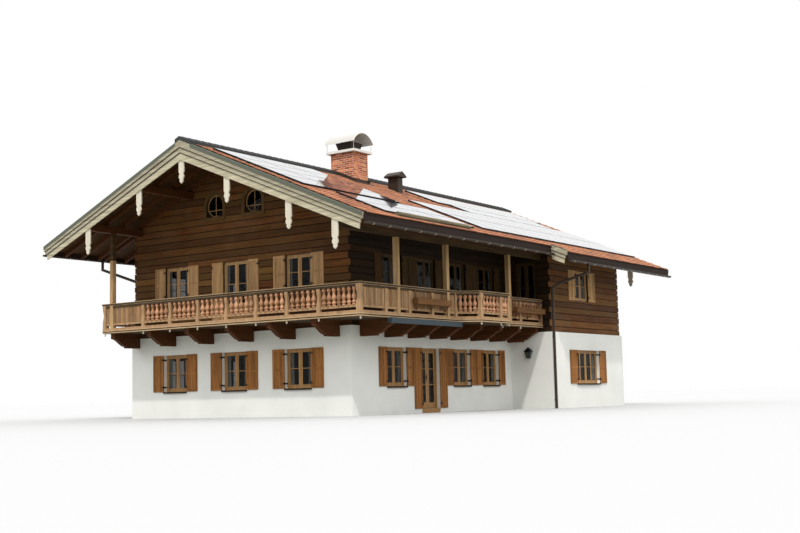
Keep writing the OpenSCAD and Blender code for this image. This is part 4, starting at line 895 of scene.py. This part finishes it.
# %% Arch casings
CASING_W, CASING_BACK, CASING_OUT, SILL_OUT, ARCH_STEPS = 0.12, -0.02, 0.030, 0.050, 20


def arch_casing(face):
    """A band round an arched opening: a half circle on two uprights, with two radii and two reaches."""
    half = face.width / 2
    wide = half + CASING_W
    angle = np.linspace(0, np.pi, ARCH_STEPS + 1)
    rows = []
    for radius, z in ((half, CASING_BACK), (half, CASING_OUT), (wide, CASING_OUT), (wide, CASING_BACK)):
        x = np.concatenate([[radius], radius * np.cos(angle), [-radius]])
        y = np.concatenate([[0.0], face.height - half + radius * np.sin(angle), [0.0]])
        rows.append(np.stack([x, y, np.full(len(x), z)], axis=-1))
    return tube(face.origin + np.stack(rows, axis=1) @ face.axes)


casings, casing_feet = [], []
for low, high in upper_frames:
    if low[2] > ARCH_Z:
        node = "log_gable_front" if low[1] < return_y else "log_gable_rear"
        face = Face(low, high, *LOG_WALLS[node][:2])
        face.origin[1] = Face(*box(node), *LOG_WALLS[node][:2]).origin[1]
        casings.append(arch_casing(face))
        reach = face.width / 2 + CASING_W
        casing_feet.append(block(-reach, reach, -CASING_W, 0, CASING_BACK, SILL_OUT, face))
put("arch_casings", "casing_wood", *join(casings), "frame_wood")
put_blocks("arch_sills", "casing_wood", casing_feet, "frame_wood", bevel=0.004)

# %% [markdown]
# ## Clay tiles
# Pantiles lie in courses, each one over the one below. Seen as a surface, the height over the
# roof boards is a saw tooth down the slope plus a wave along the eave. Each course has its own two
# rows of points, so that its lower edge ends in a small upright step.

# %% Tiles
ROLL_W, TILE_BASE, TILE_STEP, TILE_WAVE = 0.12, 0.006, 0.024, 0.028
TILE_EDGE, TILE_OVER, CLEAR_RIDGE = 0.022, 0.045, 0.2
COLUMNS_PER_ROLL, VERGE_STRIP = 5, 0.15
# steps of the random table from course to course and from tile to tile
COURSE_KEY, TILE_KEY = 613, 7


def tile_slope(name, side, eaves, y_ranges, course):
    """Saw tooth down the slope and wave along the eave. side is 1 for the slope on the right.

    Each tile has two rolls, so its tone changes after every two waves.

    height = base + step * share of the way down the course + wave * (half a cosine wave of y) ** 1.5
    """
    outer = max(eaves)
    courses = int((outer - CLEAR_RIDGE) / course)
    low_edges = outer - course * np.arange(courses)
    # two rows of points for each course, from the eave up, and one more for the edge at the eave
    down = np.concatenate([[outer], np.stack([low_edges, low_edges - course], axis=1).reshape(-1)])
    share = np.concatenate([[1.0], np.tile([1.0, 0.0], courses)])
    drop = np.where(np.arange(len(down)) == 0, TILE_EDGE, 0.0)
    along = np.arange(y_ranges[0][0], y_ranges[-1][1], ROLL_W / COLUMNS_PER_ROLL)
    x_grid, y_grid = np.meshgrid(down, along, indexing="ij")
    wave = (0.5 + 0.5 * np.cos(2 * np.pi * y_grid / ROLL_W)) ** 1.5
    height = TILE_BASE + TILE_STEP * share[:, None] + TILE_WAVE * wave - drop[:, None]
    z_grid = RIDGE_Z - SLOPE * x_grid + height / math.cos(PITCH)
    points = np.stack([RIDGE_X + side * x_grid, y_grid, z_grid], axis=-1)
    x_mid, y_mid = ((grid[:-1, :-1] + grid[1:, 1:]) / 2 for grid in (x_grid, y_grid))
    keep = np.zeros(x_mid.shape, dtype=bool)
    for eave, (y0, y1) in zip(eaves, y_ranges):
        keep |= (x_mid < eave + ON_EDGE) & (y_mid > y0) & (y_mid < y1)
    faces = grid_faces(*x_grid.shape)[keep]
    tile = (np.maximum(np.arange(len(down)) - 1, 0) // 2)[:, None] * COURSE_KEY
    tile = tile + (y_grid / ROLL_W / 2).astype(int) * TILE_KEY
    tone = rng.random(tile.max() + 1)[tile]
    return put(name, "roof_tile", points.reshape(-1, 3), faces if side > 0 else faces[:, ::-1], "roof_tile",
               tone=tone.reshape(-1), relief=wave.reshape(-1))


front, rear = box("ridge_cap")[:, 1] + [VERGE_STRIP, -VERGE_STRIP]
right_points = node_points("roof_right")
eave_near = right_points[right_points[:, 1] < front][:, 0].max() - RIDGE_X
eave_far = right_points[:, 0].max() - RIDGE_X
eave_left = RIDGE_X - LEFT_EAVE_X
step_y = right_points[right_points[:, 0] > RIDGE_X + eave_far - ON_EDGE][:, 1].min()
COURSE_LEVEL = (eave_far - eave_near) / 2
right_eaves = (eave_near + TILE_OVER, eave_far + TILE_OVER)
tile_slope("tiles_right", 1, right_eaves, ((front, rear), (step_y, rear)), COURSE_LEVEL)
tile_slope("tiles_left", -1, (eave_left + TILE_OVER,), ((front, rear),), COURSE_LEVEL)
print("course", round(COURSE_LEVEL, 3), "step at", round(step_y, 2))

# %% [markdown]
# Three verge boards hang one under the other, each a little behind the one above. A dark strip
# under each step is painted shadow. The boards taper towards the eave, and the strips do as well:
# drop(x) = depth * (1 - (1 - taper) * x / length of the slope).

# %% Shadow gaps of the verge
VERGE_DEPTHS, VERGE_TAPER = (0.23, 0.40), 0.8
VERGE_FACE, VERGE_STEP, GAP_H = 0.008, 0.024, 0.026
VERGE_THK, STEP_RISE, END_BACK = 0.09, 0.08, 0.3
GAP_FRONT, GAP_BACK, GAP_START = 0.003, 0.002, 0.01


def shadow_strip_of_verge(x0, length, depth, y0, side=1, lift=0.0):
    """Eight corners of a dark strip of painted shadow that follows the slope at a depth under the tiles."""
    along, across, up = CORNER_ORDER.T
    x = x0 + (length - END_BACK * depth - x0) * along
    drop = depth * (1 - (1 - VERGE_TAPER) * x / length) + GAP_H * (1 - up)
    y = y0 + GAP_FRONT + (VERGE_STEP - GAP_BACK) * across
    points = np.stack([RIDGE_X + side * x, y, RIDGE_Z + lift - SLOPE * x - drop], axis=-1)
    return points if side > 0 else points[MIRRORED]


gaps = []
for row, depth in enumerate(VERGE_DEPTHS):
    behind = VERGE_FACE + row * VERGE_STEP
    verge_y = box("verge_caps")[0, 1] + behind
    gaps.append(shadow_strip_of_verge(GAP_START, eave_left, depth, verge_y, -1))
    gaps.append(shadow_strip_of_verge(GAP_START, eave_near, depth, verge_y))
    gaps.append(shadow_strip_of_verge(eave_near + GAP_START, eave_far, depth, step_y - VERGE_THK + behind, 1, STEP_RISE))
put_blocks("verge_shadow_strips", "eave_wood", gaps, "verge_wood")

# %% [markdown]
# The boards carry painted light and shade: the lowest board is painted palest, as the one that
# catches the most light, and the ones above are painted greyer. So the finish of the verge works out
# how deep a point lies under the tiles and takes its tone from that, with the same taper as the
# strips. The short boards of the step are painted palest of all, as if free of the eave's shade.

# %% Tones of the verge boards
# painted light and shade: a tone for each board, and the boards of the step painted palest
UPPER_TONE, MIDDLE_TONE, LOWEST_TONE, STEP_TONE = 0.78, 0.88, 1.06, 1.28


def graded_verge():
    """Grey boards with a painted tone of light and shade for each of the three, from the depth under the
    tiles.
    """
    made = Finish("graded verge boards", (190, 180, 155), 0.75)
    streak = made.streak(ALONG_LEVEL)
    away = abs(made.axis("X") - RIDGE_X)
    step = away > eave_near
    depth = RIDGE_Z - SLOPE * away - made.axis("Z") + step * STEP_RISE
    level = depth / (1 - (1 - VERGE_TAPER) / eave_near * away)
    tone = LOWEST_TONE + (level < VERGE_DEPTHS[1]) * (MIDDLE_TONE - LOWEST_TONE)
    tone = tone + (level < VERGE_DEPTHS[0]) * (UPPER_TONE - MIDDLE_TONE)
    grey = made.blend(streak, (148, 139, 116), (203, 194, 169))
    return made.coat(made.shade(grey, tone * (1 + step * (STEP_TONE - 1))), streak)


finish["verge_wood"] = graded_verge()
dress("verge_boards", "verge_wood")
print("board tones", UPPER_TONE, MIDDLE_TONE, LOWEST_TONE)

# %% [markdown]
# Below the lowest tiles one sees the end of the roof boards. A dark board covers it, down to the
# gutter, so that the row of tile ends stands out as a bright wavy edge over a dark band.

# %% Eave boards
EAVE_THK, UNDER_TILES, EAVE_GAP = 0.012, 0.012, 0.002
eave_boards = []
for low, high in solids("gutters"):
    inner, out = (low[0], EAVE_THK) if low[0] > RIDGE_X else (high[0], -EAVE_THK)
    top_z = RIDGE_Z - SLOPE * (abs(inner - RIDGE_X) + EAVE_THK) - UNDER_TILES
    eave_boards.append(block(*sorted((inner, inner + out)), low[1] + EAVE_GAP, high[1] - EAVE_GAP,
                             high[2] + EAVE_GAP, top_z))
put_blocks("eave_boards", "eave_wood", eave_boards, "dark_wood")

# %% [markdown]
# ## Chimney
# The stack is laid in stretcher bond: each course is shifted by half a brick. The bricks stand a
# few millimetres proud of the solid stack, whose own face is the mortar.

# %% Bricks
BRICK_L, BRICK_H, JOINT, BRICK_PROUD = 0.25, 0.078, 0.016, 0.006
BRICK_BACK, BRICK_LEAST, ROW_LEAST, BELOW_ROOF = -0.02, 0.03, 0.02, 0.1
stack_low, stack_high = box("chimney_stack")
roof_at_stack = RIDGE_Z - SLOPE * (stack_high[0] - RIDGE_X)


def brick_wall(face, first_y, corner):
    """The bricks on one side of the stack. Odd courses are shifted by half a brick."""
    half, made = face.width / 2 + BRICK_PROUD, []
    for row, y in enumerate(np.arange(first_y, face.height - ROW_LEAST, BRICK_H)):
        shift = BRICK_L / 2 if (row + corner) % 2 else 0.0
        y0, y1 = y + JOINT / 2, min(y + BRICK_H, face.height) - JOINT / 2
        for x0, x1 in pairwise(np.arange(-half - shift, half + BRICK_L, BRICK_L)):
            x0, x1 = max(x0, -half) + JOINT / 2, min(x1, half) - JOINT / 2
            if x1 - x0 > BRICK_LEAST:
                made.append(block(x0, x1, y0, y1, BRICK_BACK, BRICK_PROUD, face))
    return made


bricks = []
for axis, side in ((0, -1), (0, 1), (1, -1), (1, 1)):
    face = Face(stack_low, stack_high, axis, side)
    bricks += brick_wall(face, roof_at_stack - stack_low[2] - BELOW_ROOF, axis)
put_blocks("chimney_bricks", "brick", bricks, "brick", bevel=0.003)

# %% [markdown]
# ## Mouldings along the balcony
# A moulding is a profile carried along a path. At each corner the profile lies in the plane that
# halves the angle, so its outward reach is divided by the cosine of half the turn.


# %% Moulding helper
def moulding(path, profile):
    """Points and faces of a closed profile (out, up) carried along a level path, with flat ends.

    point(i, j) = path(i) + out(j) * mitre(i) + up(j) * z
    """
    path, profile = np.asarray(path), np.asarray(profile)
    runs = np.diff(path[:, :2], axis=0)
    runs /= np.linalg.norm(runs, axis=1)[:, None]
    before, after = np.vstack([runs[:1], runs]), np.vstack([runs, runs[-1:]])
    middle = before + after
    middle /= np.linalg.norm(middle, axis=1)[:, None]
    reach = 1 / (middle * after).sum(1)
    mitre = np.stack([middle[:, 1], -middle[:, 0]], axis=1) * reach[:, None]
    points = np.zeros((len(path), len(profile), 3))
    points[..., :2] = path[:, None, :2] + mitre[:, None, :] * profile[None, :, :1]
    points[..., 2] = path[:, None, 2] + profile[None, :, 1]
    return tube(points, inward=True)


def board(out0, out1, up0, up1, soft=0.006):
    """Profile of a board with chamfered corners, from its reach and height, anticlockwise."""
    return [(out0 + soft, up0), (out1 - soft, up0), (out1, up0 + soft), (out1, up1 - soft),
            (out1 - soft, up1), (out0 + soft, up1), (out0, up1 - soft), (out0, up0 + soft)]


# %% [markdown]
# A dark cap covers the hand rail, and its lower board reaches down over the tops of the balusters
# as painted shadow of the rail. Pale strips run along its edge and along the edge of the floor. Cap
# and strips follow the rail round all its corners, which are the small square posts of the solid
# model, and end at the two walls.

# %% Rail path
POST_MOST = 0.2
rail_boxes = solids("balcony_rails")
sizes = rail_boxes[:, 1] - rail_boxes[:, 0]
corner_posts = rail_boxes[(sizes[:, :2] < POST_MOST).all(axis=1)].mean(1)
left_corner = corner_posts[corner_posts[:, 0].argmin()]
rest = corner_posts[corner_posts[:, 0] > left_corner[0] + 1]
rest = rest[rest[:, 1].argsort()]
DECK_TOP = rail_boxes[:, 0, 2].min()
RAIL_TOP = DECK_TOP + sizes[:, 2].max()
plan = [(left_corner[0], front_y), left_corner[:2], *rest[:, :2], (rest[-1][0], return_y)]
rail_path = np.array([(x, y, 0.0) for x, y in plan])
# the second board of the cap is painted shadow: a dark band under the rail, over the balusters' tops
# for each board: the height that it starts from, its reach from the middle of the rail, its rise
RAIL_CAP_AND_SHADOW = ((RAIL_TOP, -0.085, 0.096, -0.040, 0.010), (RAIL_TOP, -0.040, 0.070, -0.125, -0.036))
DECK_GROOVE = ((DECK_TOP, 0.040, 0.070, -0.058, -0.026),)
RAIL_STRIPS = ((RAIL_TOP, 0.076, 0.104, -0.004, 0.014), (RAIL_TOP, 0.050, 0.080, -0.064, -0.046),
               (DECK_TOP, 0.040, 0.094, -0.030, 0.008), (DECK_TOP, 0.040, 0.084, -0.092, -0.056))
for name, look, rows in (("cap_and_rail_shadow", "cap_wood", RAIL_CAP_AND_SHADOW), ("deck_edge_groove", "eave_wood", DECK_GROOVE),
                         ("rail_strips", "strip_wood", RAIL_STRIPS)):
    put(name, look, *join(moulding(rail_path + [0, 0, z], board(*reach)) for z, *reach in rows), "rail_wood")
print("rail corners", len(plan))

# %% [markdown]
# ## Turned balusters
# A baluster is a profile turned round an upright axis. One profile serves all of them: share of
# the largest radius against share of the height, smoothed between the marked points. Radius and
# place come from the boxes of the plain balusters, which these replace.

# %% Balusters
TURNS, RINGS = 14, 40
BALUSTER_PROFILE = np.array([
    [0.00, 0.86], [0.05, 0.86], [0.065, 0.55], [0.09, 0.52], [0.12, 0.88], [0.17, 0.95], [0.22, 0.80],
    [0.27, 0.46], [0.30, 0.46], [0.36, 0.80], [0.44, 1.00], [0.52, 0.92], [0.62, 0.58], [0.70, 0.36],
    [0.72, 0.52], [0.745, 0.56], [0.77, 0.40], [0.82, 0.70], [0.87, 0.86], [0.92, 0.80], [0.95, 0.56],
    [0.965, 0.72], [1.00, 0.72]])


def turned(low, high):
    """Points and faces of a turned piece in its box: radius(height) * (cosine, sine) of the angle."""
    share = np.linspace(0, 1, RINGS)
    radius = np.interp(share, *BALUSTER_PROFILE.T)[:, None] * (high - low)[0] / 2
    angle = 2 * np.pi * np.arange(TURNS) / TURNS
    x, y, _ = (low + high) / 2
    z = np.broadcast_to(low[2] + share[:, None] * (high - low)[2], (RINGS, TURNS))
    return tube(np.stack([x + radius * np.cos(angle), y + radius * np.sin(angle), z], axis=-1))


boxes = solids("balcony_balusters")
tone = np.repeat(rng.random(len(boxes)), TURNS * RINGS)
made = put("turned_balusters", "turned_wood", *join(turned(*corners) for corners in boxes), "rail_wood",
           tone=tone, smooth=True)
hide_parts("balcony_balusters")
print("balusters", len(boxes))

# %% [markdown]
# ## Boarded stretches
# The left end of the front and the side up to the bay are closed with upright boards, fixed
# outside a plain panel, each board with its own tone.

# %% Panel boards
BOARD_W, BOARD_OUT, BOARD_GAP = 0.118, 0.016, 0.004
boards = []
for face in faces_of("balcony_panels"):
    count = max(1, round(face.width / BOARD_W))
    for x0, x1 in pairwise(np.linspace(-face.width / 2, face.width / 2, count + 1)):
        boards.append(block(x0 + BOARD_GAP, x1 - BOARD_GAP, BOARD_GAP, face.height - BOARD_GAP,
                            -BOARD_GAP, BOARD_OUT, face))
put_blocks("panel_boards", "board_wood", boards, "rail_wood", bevel=0.004)

# %% [markdown]
# ## Solar panels
# Each panel is a sheet of glass in a thin frame. Its UV map counts cells, so the finish can draw
# the fine grid of the cells. The plain solids below are painted dark: partly their dark frames, partly
# painted shadow under the raised panels.

# %% Panel glass
CELL, GLASS_INSET, GLASS_LIFT = 0.159, 0.012, 0.003


def on_slope(x, y, height, side=1):
    """A point over the slope: level distance from the ridge, place along it, height square to it."""
    return np.stack([RIDGE_X + side * (x + height * math.sin(PITCH)), y,
                     RIDGE_Z - SLOPE * x + height * math.cos(PITCH)], axis=-1)


panels = solids("solar_panels")
extent = panels[:, 1] - panels[:, 0]
thickness = (extent[:, 2] - extent[:, 0] * SLOPE) / (math.cos(PITCH) - math.sin(PITCH) * SLOPE)
x0 = panels[:, 0, 0] - RIDGE_X + GLASS_INSET
x1 = panels[:, 1, 0] - RIDGE_X - thickness * math.sin(PITCH) - GLASS_INSET
y0, y1 = panels[:, 0, 1] + GLASS_INSET, panels[:, 1, 1] - GLASS_INSET
across = np.stack([x0, x1, x1, x0], axis=1)
along = np.stack([y0, y0, y1, y1], axis=1)
points = on_slope(across, along, (thickness + GLASS_LIFT)[:, None]).reshape(-1, 3)
glass = put("solar_glass", "solar_cell", points, np.arange(len(points)).reshape(-1, 4), "solar_cell")
cells = np.stack([(across - across[:, :1]) / math.cos(PITCH), along - along[:, :1]], axis=-1) / CELL
glass.data.uv_layers.new(name="cells").data.foreach_set("uv", cells.reshape(-1).astype(np.float32))
print("solar panels", len(panels))

# %% [markdown]
# ## Metal on the roof
# The ridge sheet has a standing rib every thirty centimetres, and strips of sheet close the joint
# between the chimney and the tiles.

# %% Ridge ribs and chimney flashing
RIB_STEP, RIB_W, RIB_H, RIB_IN, RIB_SUNK, RIB_END, RIB_CLEAR = 0.30, 0.03, 0.014, 0.055, 0.004, 0.1, 0.06
FLASH_W, FLASH_DOWN, FLASH_H, FLASH_SIDE_H = 0.16, 0.20, 0.058, 0.056
SHEET_THK, SHEET_UP, SHEET_DOWN = 0.014, 0.15, 0.06
VENT_EDGE, VENT_BEHIND, VENT_SIDE, CAP_CLEAR = 0.11, 0.12, 0.02, 0.01
ridge_low, ridge_high = box("ridge_cap")
CAP_REACH = {1: ridge_high[0] - RIDGE_X, -1: RIDGE_X - ridge_low[0]}
CAP_UP = (ridge_high[2] - RIDGE_Z) * math.cos(PITCH)


def slope_block(x0, x1, y0, y1, h0, h1, side=1):
    """Eight corners of a block that lies on a slope, in the order of the plain block."""
    made = on_slope(*block(x0, x1, y0, y1, h0, h1).T, side)
    return made if side > 0 else made[MIRRORED]


ribs = []
for y in np.arange(ridge_low[1] + RIB_END, ridge_high[1] - RIB_END, RIB_STEP):
    if not stack_low[1] - RIB_CLEAR < y < stack_high[1] + RIB_W:
        for side in (-1, 1):
            ribs.append(slope_block(0.0, CAP_REACH[side] - RIB_IN, y, y + RIB_W,
                                    CAP_UP - RIB_SUNK, CAP_UP + RIB_H, side))
put_blocks("ridge_ribs", "ridge_metal", ribs, "ridge_metal")

near, far = stack_low[0] - RIDGE_X, stack_high[0] - RIDGE_X
fore, aft = stack_low[1], stack_high[1]
clear = max(near, CAP_REACH[1] + CAP_CLEAR)
(vent_near, vent_fore, _), (vent_far, vent_aft, _) = box("roof_vent") - [RIDGE_X, 0, 0]
# sheets that lie on the tiles, then the upright sheet round the foot of the stack, then the vent's
flashing = [
    slope_block(far, far + FLASH_DOWN, fore - FLASH_W, aft + FLASH_W, 0.0, FLASH_H),
    slope_block(clear, far, fore - FLASH_W, fore, 0.0, FLASH_SIDE_H),
    slope_block(clear, far, aft, aft + FLASH_W, 0.0, FLASH_SIDE_H),
    slope_block(near, far + SHEET_DOWN, fore - SHEET_THK, fore, 0.0, SHEET_UP),
    slope_block(near, far + SHEET_DOWN, aft, aft + SHEET_THK, 0.0, SHEET_UP),
    block(stack_high[0], stack_high[0] + SHEET_THK, fore, aft, roof_at_stack, roof_at_stack + SHEET_UP),
    slope_block(vent_near + VENT_EDGE - VENT_BEHIND, vent_far - VENT_EDGE + FLASH_W,
                vent_fore + VENT_SIDE, vent_aft - VENT_SIDE, 0.0, FLASH_SIDE_H),
]
put_blocks("roof_flashing", "gutter_metal", flashing, "gutter_metal", bevel=0.004)

# %% [markdown]
# Gutters hang in flat hooks. Each hook is a strip of a half ring, which starts a little below the
# rim, so that it stays inside the width of the gutter.

# %% Gutter hooks
HOOK_STEP, HOOK_FIRST, HOOK_LAST = 0.8, 0.3, 0.2
HOOK_W, HOOK_THK, HOOK_STEPS = 0.03, 0.005, 10
# radians between the rim and the start of a hook
HOOK_FROM = 0.42


def gutter_hooks(low, high):
    """All hooks of one gutter, as tubes."""
    angle = np.linspace(np.pi + HOOK_FROM, 2 * np.pi - HOOK_FROM, HOOK_STEPS + 1)[:, None]
    radius = (high - low)[0] / 2 + np.array([HAIR, HOOK_THK, HOOK_THK, HAIR])
    x = (low + high)[0] / 2 + radius * np.cos(angle)
    z = high[2] + radius * np.sin(angle)
    strip = np.broadcast_to([0, 0, HOOK_W, HOOK_W], x.shape)
    places = np.arange(low[1] + HOOK_FIRST, high[1] - HOOK_LAST, HOOK_STEP)
    return [tube(np.stack([x, y + strip, z], axis=-1)) for y in places]


hooks = [hook for corners in solids("gutters") for hook in gutter_hooks(*corners)]
put("gutter_hooks", "hook_metal", *join(hooks), "gutter_metal")

# %% [markdown]
# ## Curtains
# White net curtains hang behind the panes and soften the dark rooms. Each one is a waved sheet:
# its depth is a sine of the place across, its width narrows a little towards the middle. Those of
# the rear wall are drawn, so that nobody looks right through the house.

# %% Curtains
CURTAIN_BACK, FOLDS, FOLD_DEPTH, PINCH = 0.06, 7, 0.014, 0.12
CURTAIN_COLUMNS, CURTAIN_ROWS = 57, 7
COVER = {"ground": 0.20, "upper": 0.14, "drawn": 0.56}


def curtain(face, x0, x1, y0, y1):
    """A waved sheet behind the panes. depth = back + fold * sine(folds * share across)."""
    steps = (np.linspace(0, 1, count) for count in (CURTAIN_COLUMNS, CURTAIN_ROWS))
    share, drop = np.meshgrid(*steps, indexing="ij")
    x = x0 + (x1 - x0) * share * (1 - PINCH * np.sin(np.pi * drop))
    z = -CURTAIN_BACK - FOLD_DEPTH * np.sin(2 * np.pi * FOLDS * share)
    points = face.origin + np.stack([x, y0 + (y1 - y0) * drop, z], axis=-1) @ face.axes
    quads = grid_faces(CURTAIN_COLUMNS, CURTAIN_ROWS)[..., [0, 3, 2, 1]]
    return points.reshape(-1, 3), quads.reshape(-1, 4).tolist()


sheets = []
for storey in ("ground", "upper"):
    for face in faces_of(f"{storey}_window_frames"):
        if face.origin[2] < ARCH_Z:
            edge = face.width / 2 - FRAME_W
            reach = 2 * edge * COVER["drawn" if face.axes[2, 1] > 0.5 else storey]
            for start, end in ((-edge, reach - edge), (edge, edge - reach)):
                sheets.append(curtain(face, start, end, FRAME_W, face.height - FRAME_W))
put("curtains", "cloth", *join(sheets), "window_glass", smooth=True)

# %% [markdown]
# ## Small things
# A dark collar stands under the chimney hood. It is a grid that closes both ways, like a ring
# cake with square sides. The lantern has panes between its black bars, wider at the top.

# %% Collar and lantern
FLUE_HALF, COLLAR_HALF, COLLAR_THK = 0.27, 0.36, 0.03
COLLAR_FOOT, COLLAR_INNER_FOOT, COLLAR_TOP = -0.15, -0.02, 0.17
LANTERN_ROOF_W, LANTERN_W, LANTERN_FOOT_W = 0.27, 0.21, 0.13
LANTERN_ROOF_H, LANTERN_H, PANE_HALF, PANE_OUT = 0.15, 0.25, 0.36, 0.002
slab_low, slab_high = box("chimney_slab")
corners = np.array([(-1, -1), (1, -1), (1, 1), (-1, 1)])
# four square rings: up the outside, over the rim and down the inside
rings = np.zeros((4, 4, 3))
rings[..., :2] = (slab_low + slab_high)[:2] / 2 + corners * np.array(
    [FLUE_HALF, COLLAR_HALF, COLLAR_HALF - COLLAR_THK, FLUE_HALF - COLLAR_THK])[:, None, None]
rings[..., 2] = slab_high[2] + np.array([COLLAR_FOOT, COLLAR_TOP, COLLAR_TOP, COLLAR_INNER_FOOT])[:, None]
quads = grid_faces(4, 4, ring=True, loop=True).reshape(-1, 4)
put("flue_collar", "soot_sheet", rings.reshape(-1, 3), quads, "zinc_sheet")

lantern_low, lantern_high = box("wall_lantern")
lantern_foot = np.array([(lantern_low + lantern_high)[0] / 2, lantern_low[1] + LANTERN_ROOF_W / 2,
                         lantern_high[2] - LANTERN_ROOF_H - LANTERN_H])
panes = []
for quarter in range(4):
    turned_by = np.array(turn(90 * quarter, "Z"))
    for side, share in ((-1, 0.1), (1, 0.1), (1, 0.9), (-1, 0.9)):
        wide = LANTERN_FOOT_W + (LANTERN_W - LANTERN_FOOT_W) * share
        point = [side * PANE_HALF * wide, -wide / 2 - PANE_OUT, LANTERN_H * share]
        panes.append(lantern_foot + turned_by @ point)
put("lantern_panes", "lamp_glass", np.array(panes), np.arange(len(panes)).reshape(-1, 4), "lantern_metal")

# %% [markdown]
# The two leaves of the terrace door have glazing bars, and the front leaf has a lever handle on
# both faces. Bars and handle ride on the body of their leaf, so that they open with it.

# %% Door bars and handle
BAR_SHARES, BAR_OUT = (0.36, 0.68), 0.008
HANDLE_Z, HANDLE_IN, PLATE_W, PLATE_H, PLATE_IN, PLATE_OUT = 1.02, 0.045, 0.036, 0.20, 0.002, 0.006
LEVER_L, LEVER_H, LEVER_OUT, LEVER_THK = 0.12, 0.018, 0.045, 0.012
for leaf in ("front", "rear"):
    face = faces_of(f"door_glass_{leaf}")[0]
    bars = [bar(face, 0, face.height * share, face.width, BAR_W, -face.depth - BAR_OUT, BAR_OUT)
            for share in BAR_SHARES]
    put_blocks(f"door_bars_{leaf}", "frame_wood", bars, "frame_wood", f"door_{leaf}", bevel=0.003)

leaf = Face(*box("door_leaf_front"), 0, 1)
# the meeting edge of the front leaf is on the side of the rear leaf
toward = math.copysign(1, (box("door_leaf_rear")[0] - leaf.origin) @ leaf.axes[0])
at = toward * (leaf.width / 2 - HANDLE_IN)
lever_y = HANDLE_Z + LEVER_H / 2
handle = []
for plane, out in ((0.0, 1), (-leaf.depth, -1)):
    plate = sorted((plane - out * PLATE_IN, plane + out * PLATE_OUT))
    neck = sorted((plane, plane + out * LEVER_OUT))
    grip = sorted((plane + out * (LEVER_OUT - LEVER_THK), plane + out * LEVER_OUT))
    handle.append(bar(leaf, at, HANDLE_Z, PLATE_W, PLATE_H, *plate))
    handle.append(bar(leaf, at, lever_y, LEVER_H, LEVER_H, *neck))
    handle.append(bar(leaf, at - toward * LEVER_L / 2, lever_y, LEVER_L, LEVER_H + 2 * HAIR, *grip))
put_blocks("door_handle", "lantern_metal", handle, "lantern_metal", "door_front", bevel=0.002)

# %% [markdown]
# ## Floor
# A plain pale floor carries the house and takes its shadow. It isn't part of the object.

# %% Floor
FLOOR_HALF = 900.0
floor = bpy.data.meshes.new("floor")
floor.from_pydata([(x * FLOOR_HALF, y * FLOOR_HALF, 0) for x, y in corners], [], [(0, 1, 2, 3)])
floor.materials.append(finish["floor"].material)
ground = bpy.data.objects.new("floor", floor)
bpy.context.collection.objects.link(ground)
print("floor", 2 * FLOOR_HALF)
